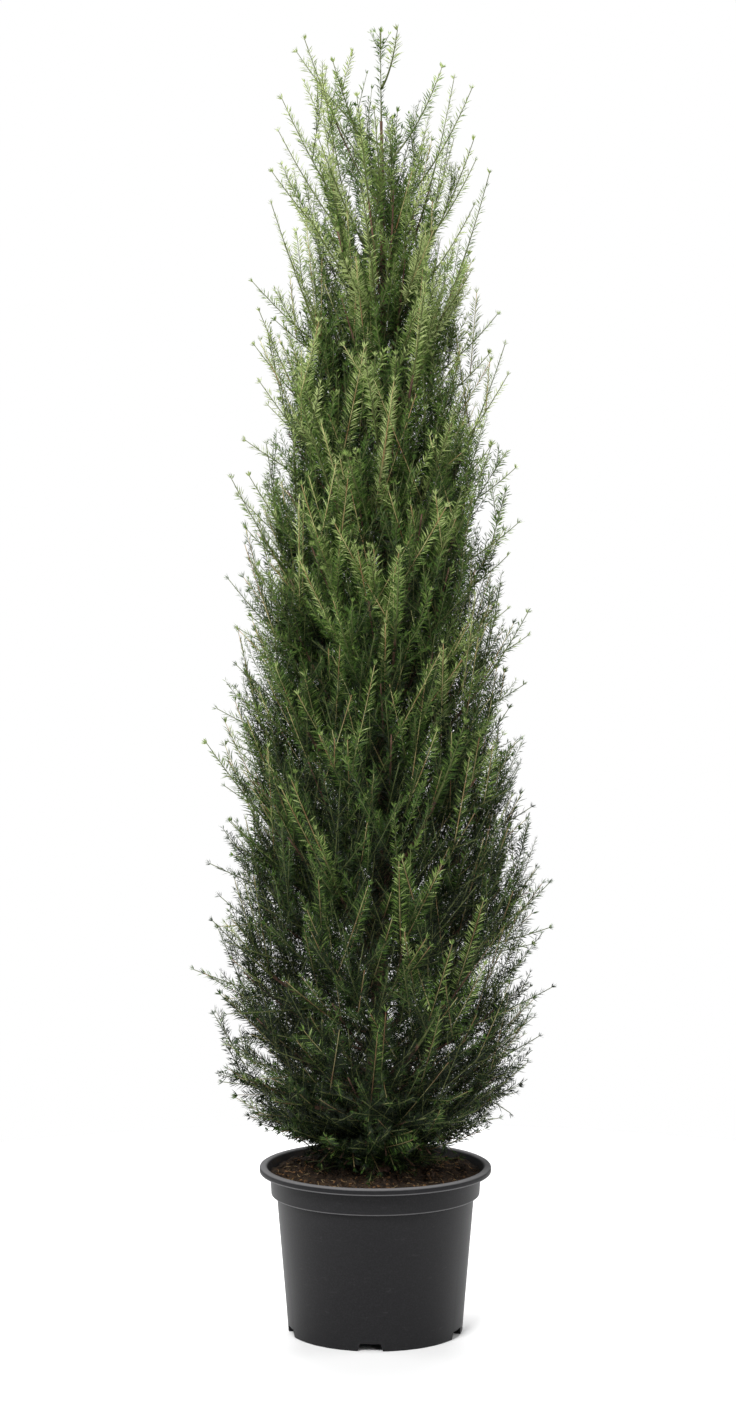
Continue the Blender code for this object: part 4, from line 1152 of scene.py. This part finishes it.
def needle_kites(curves, flats, start, spacing, sizes, widths, brush, tufts, seed):
    """Kites along shoots: their four points, the shoot that each is on and its share of the run.

    way = cos(lean) along + sin(lean) side + rise up; tip = base + length * way, less a small droop.
    """
    rng = np.random.default_rng(seed)
    shoot, order, share, rosette = needle_places(curves, start, spacing, tufts, rng)
    total = len(shoot)
    axis = heading(curves[shoot], share)
    side = squared(flats[shoot], axis)
    normal = np.cross(axis, side)
    roll = rng.normal(scale=np.where(rosette, ROSETTE_ROLL, brush[shoot]))
    out = turned(roll, along(left_and_right(order), side), normal)
    lean = needle_leans(share, rosette, rng)
    rise = rng.normal(loc=NEEDLE_RISE, scale=NEEDLE_RISE_VARIES, size=total)
    way = unit(turned(lean, axis, out) + along(rise, normal))
    long = NEEDLE_LENGTH * np.interp(share, LENGTH_PLACES, LENGTH_BY_PLACE)
    long = long * sizes[shoot] * rng.uniform(*NEEDLE_LENGTH_VARIES, total)
    wide = widths[shoot] / 2 * np.sqrt(sizes[shoot]) * rng.uniform(*NEEDLE_WIDTH_VARIES, total)
    face = squared(normal + along(rng.normal(scale=NEEDLE_TWIST, size=total), out), way)
    half = along(wide, np.cross(face, way))
    base = bezier(curves[shoot], share)
    middle = base + along(long * WIDEST_AT, way)
    middle = middle + along(long * NEEDLE_ARCH - wide * NEEDLE_FOLD, face)
    tip = base + along(long, way) - along(long * NEEDLE_DROOP, face)
    return np.stack([base, middle + half, tip, middle - half], axis=1), shoot, share


print("A shoot of 12 cm bears", int(0.12 / NEEDLE_SPACING), "needles")

# %% Needles on every shoot
STEM_STARTS = (0.55, 0.50, 0.42)
FIRST_NEEDLES = (0.0, 0.06, 0.03)
ROSETTE_COUNTS = (13, 10, 4)
ORDER_SIZES = (1.05, 1.0, 0.9)
SIZE_VARIES = (0.85, 1.12)
LEADING_SIZE = 1.18
LEADER_SIZE = 0.8
NEEDLE_WIDTH = 0.0018
LEADING_WIDTH = 0.0014
BRUSH = 0.90
LEADING_BRUSH = 0.30
HIDDEN_DEPTH = -0.50
HIDDEN_SPACING = 0.00550
FRINGE_DEPTH = 0.4
FRINGE_SPACING = 0.00140
LEADING_SPACING = 0.00130


def stem_ends():
    """The stems' own outer ends, each as a shoot that bears needles."""
    first = np.take(STEM_STARTS, kind_of_stem)[:, None]
    first[leader_row] = 0.0
    share = first + (1.0 - first) * np.array([0.0, 0.5, 1.0])
    knots = bezier(stems[:, None], share)
    bend = 2 * knots[:, 1] - (knots[:, 0] + knots[:, 2]) / 2
    curves = np.stack([knots[:, 0], bend, knots[:, 2]], axis=1)
    return curves, flat_side(curves, np.linspace(-0.5, 0.5, len(curves)))


END, SIDE, FEATHER = range(3)
end_curves, end_flats = stem_ends()
end_outer = np.where(kind_of_stem == LESSER, 0.0, 1.0)
all_curves = np.concatenate([end_curves, side_curves, feather_curves])
all_flats = np.concatenate([end_flats, side_flats, feather_flats])
all_outer = np.concatenate([end_outer, side_outer, feather_outer])
orders = np.repeat([END, SIDE, FEATHER], [len(end_curves), len(side_curves), len(feather_curves)])
in_lead = np.zeros(len(orders), bool)
in_lead[orders == SIDE] = leads
sizes = np.take(ORDER_SIZES, orders) * draw.uniform(*SIZE_VARIES, len(orders))
sizes = sizes * np.where(in_lead, LEADING_SIZE, 1.0)
sizes[leader_row] *= LEADER_SIZE
spacing = np.where(all_outer < HIDDEN_DEPTH, HIDDEN_SPACING, NEEDLE_SPACING)
spacing = np.where(in_lead, LEADING_SPACING, spacing)
spacing = np.where(all_outer > FRINGE_DEPTH, FRINGE_SPACING, spacing)
kites, on_shoot, on_share = needle_kites(
    all_curves, all_flats, np.take(FIRST_NEEDLES, orders), spacing, sizes,
    widths=np.where(in_lead, LEADING_WIDTH, NEEDLE_WIDTH),
    brush=np.where(in_lead, LEADING_BRUSH, BRUSH),
    tufts=np.take(ROSETTE_COUNTS, orders), seed=104)
print(len(kites), "needles on", len(all_curves), "shoots")

# %% Tones dealt out by shoot: painted shade inside and low down, painted light outside and on top
# Tones run from painted shade deep inside and low down to painted light far out and on top, over
# young growth's paler green.
SHADE_AND_LIGHT_TONES = {
    "shaded": (0.004, 0.010, 0.002),
    "deep": (0.010, 0.024, 0.004),
    "dark": (0.025, 0.052, 0.008),
    "green": (0.053, 0.108, 0.017),
    "fresh": (0.120, 0.190, 0.040),
    "light": (0.216, 0.294, 0.084),
    "young": (0.340, 0.408, 0.158),
}
PIECE_LIMIT = 95000
SHOOT_TONE_VARIES = 0.90
NEEDLE_TONE_VARIES = 0.6
LEADING_TONE_VARIES = 1.3
TONE_HEIGHTS = (0.3, 0.7, 1.2, 1.7, 2.0)
LIGHT_AND_SHADE_BY_HEIGHT = (-1.40, -0.90, 0.80, 2.20, 2.10)
LEADING_HEIGHTS = (0.3, 0.9, 1.5, 2.0)
LEADING_LIGHTER = (0.7, 0.9, 0.8, 0.4)
LEAST_HEIGHTS = (1.50, 1.90, 1.99)
LEAST_TONES = (-1.0, 2.6, 4.2)
OUTWARD_PAINTED_LIGHT = 4.6
FEATHER_DARKER = 0.2
# Along each shoot: darker at its foot, deeper in the crown, as painted shade; lighter at the tip,
# partly young growth and partly painted light.
TIP_PLACES = (0.0, 0.55, 0.9, 1.0)
TIP_LIGHTER = (-1.1, 0.0, 0.7, 1.1)
LEADING_ROOT_DARKER = -0.4


def shoot_tones():
    """How light each shoot is, from 0 to 6: by height, by how far out it ends, and by a draw.
    Low down and deep inside this is painted shade, and high up and far out it is painted light.

    Near the top no shoot is painted dark, not even the leader in the middle,
    since light reaches them all.
    """
    tall = all_curves[:, 2, 2]
    away = np.hypot(all_curves[:, 2, 0], all_curves[:, 2, 1])
    outward = np.clip(away / np.interp(tall, DENSE_HEIGHTS, DENSE_RADII) - 0.50, 0.0, 0.80)
    leading = in_lead * np.interp(tall, LEADING_HEIGHTS, LEADING_LIGHTER)
    tone = np.interp(tall, TONE_HEIGHTS, LIGHT_AND_SHADE_BY_HEIGHT) + OUTWARD_PAINTED_LIGHT * outward
    tone = tone + draw.normal(scale=SHOOT_TONE_VARIES, size=len(tall)) + leading
    tone = tone - FEATHER_DARKER * (orders == FEATHER)
    return np.maximum(tone, np.interp(tall, LEAST_HEIGHTS, LEAST_TONES))


def needle_finish(name, colour):
    """Leathery needles: one tone with a fine mottle, which also varies their gloss and gives their
    relief.
    """
    leaf = Finish(f"needles_{name}", specular_ior_level=0.20)
    mottle = leaf.noise(260.0, detail=2.0)
    darker = tuple(0.78 * part for part in colour)
    lighter = tuple(1.20 * part for part in colour)
    leaf.set(base_color=leaf.mix(mottle, darker, lighter), roughness=0.40 + mottle * 0.22)
    leaf.bump(mottle, distance=0.0003, strength=0.4)
    return leaf


def kite_faces(count):
    """Two triangles, either side of the fold, for each of count kites."""
    corner = np.arange(count)[:, None, None] * 4
    return (corner + np.array([[0, 1, 2], [0, 2, 3]])).reshape(-1, 3)


# Each needle takes its shoot's tone of painted light and shade, the change along the shoot, and a
# draw of its own.
tone_of_shoot = shoot_tones()
towards_tip = np.interp(on_share, TIP_PLACES, TIP_LIGHTER)
in_leading = np.maximum(towards_tip, LEADING_ROOT_DARKER)
towards_tip = np.where(in_lead[on_shoot], in_leading, towards_tip)
varies = np.where(in_lead, LEADING_TONE_VARIES, NEEDLE_TONE_VARIES)
own_tone = draw.normal(scale=varies[on_shoot])
tone_of_needle = np.floor(tone_of_shoot[on_shoot] + towards_tip + own_tone)
tone_of_needle = np.clip(tone_of_needle, 0, len(SHADE_AND_LIGHT_TONES) - 1).astype(int)
for tone, (name, colour) in enumerate(SHADE_AND_LIGHT_TONES.items()):
    chosen = kites[tone_of_needle == tone]
    finish = needle_finish(name, colour)
    for part, first in enumerate(range(0, len(chosen), PIECE_LIMIT), start=1):
        some = chosen[first:first + PIECE_LIMIT]
        piece = add_piece(f"needles_{name}_{part}", some.reshape(-1, 3), [kite_faces(len(some))],
                          finish, smooth=False)
        dress(piece, "foliage", *foliage_nodes)

# %% [markdown]
# ## Floor, light and camera
#
# The photograph is a studio picture: an even white room, one large soft light from the front and
# above, a weaker one that fills the shadows, and paler edges on the pot where side lights graze it.
# One more light keeps the floor white behind the pot. The camera stands a good five metres off, at
# about chest height, and looks a little down, which was worked out from how round the pot's circles
# look.

# %% A pale studio
def paint(name, colour, roughness):
    """A plain finish for the stage, with the faintest unevenness."""
    finish = Finish(name)
    cloud = finish.noise(3.0)
    darker = tuple(0.97 * part for part in colour)
    finish.set(base_color=finish.mix(cloud, darker, colour), roughness=roughness)
    return finish


def soft_light(name, place, aim, size, power):
    """A square area light at a place that faces another place."""
    lamp = bpy.data.lights.new(name, "AREA")
    lamp.size = size
    lamp.energy = power
    item = bpy.data.objects.new(name, lamp)
    item.location = place
    way = np.subtract(aim, place)
    flat = np.hypot(way[0], way[1])
    item.rotation_euler = (pi / 2 + np.arctan2(way[2], flat), 0.0, np.arctan2(-way[0], way[1]))
    bpy.context.scene.collection.objects.link(item)


FLOOR_RADIUS = 1.6
FLOOR_THICK = 0.001
FLOOR_COLUMNS = 120
floor_profile = np.array([[0.0, -FLOOR_THICK], [FLOOR_RADIUS, -FLOOR_THICK],
                          [FLOOR_RADIUS, 0.0], [0.0, 0.0]])
pale_floor = paint("pale_floor", (0.90, 0.90, 0.90), 0.6)
floor = add_piece("studio_floor", *revolved(floor_profile, FLOOR_COLUMNS), pale_floor,
                  smooth=False)
for name, place, aim, size, power in (
        ("key_light", (-1.5, -3.4, 3.8), (0.0, 0.0, 1.1), 1.8, 290.0),
        ("fill_light", (2.2, -3.6, 2.0), (0.0, 0.0, 1.0), 1.8, 55.0),
        ("left_edge_light", (-2.8, 0.6, 1.2), (0.0, 0.0, 0.7), 1.2, 27.0),
        ("right_edge_light", (2.8, 0.4, 1.4), (0.0, 0.0, 0.8), 1.2, 27.0),
        ("floor_light", (0.0, 1.6, 4.2), (0.0, 1.2, 0.0), 2.6, 260.0)):
    soft_light(name, place, aim, size, power)

# %% A world that the camera sees as white
def white_room(seen, cast):
    """A world that looks white to the camera and lights the plant with less than that."""
    room = bpy.data.worlds.new("white_room")
    room.use_nodes = True
    wiring = Wiring(room.node_tree)
    background, surface = wiring.tree.nodes["Background"], wiring.tree.nodes["World Output"]
    wiring.feed(background.inputs["Color"], (cast, cast, cast))
    wall = wiring.node("ShaderNodeBackground", {}, (seen, seen, seen))
    to_camera = wiring.node("ShaderNodeLightPath", {}, output="Is Camera Ray")
    light = Value(wiring, background.outputs["Background"])
    chosen = wiring.node("ShaderNodeMixShader", {}, to_camera, light, wall)
    wiring.feed(surface.inputs["Surface"], chosen)
    return room


bpy.context.scene.world = white_room(seen=1.0, cast=0.14)
bpy.context.scene.view_settings.view_transform = "Standard"
print("The room is white to the camera and dimmer to the plant")

# %% The camera
FOCAL_PIXELS = 3454.0
PHOTO_HEIGHT_PIXELS = 1408.0
SENSOR = 36.0
CAMERA_PLACE = (-0.0115, -5.3, 1.39)
CAMERA_PITCH = radians(4.44)
view = bpy.data.cameras.new("photo_view")
view.sensor_width = SENSOR
view.lens = FOCAL_PIXELS * SENSOR / PHOTO_HEIGHT_PIXELS
view.clip_end = 60.0
camera = bpy.data.objects.new("photo_view", view)
camera.location = CAMERA_PLACE
camera.rotation_euler = (pi / 2 - CAMERA_PITCH, 0.0, 0.0)
bpy.context.scene.collection.objects.link(camera)
bpy.context.scene.camera = camera
print("Lens", round(view.lens, 1), "mm")
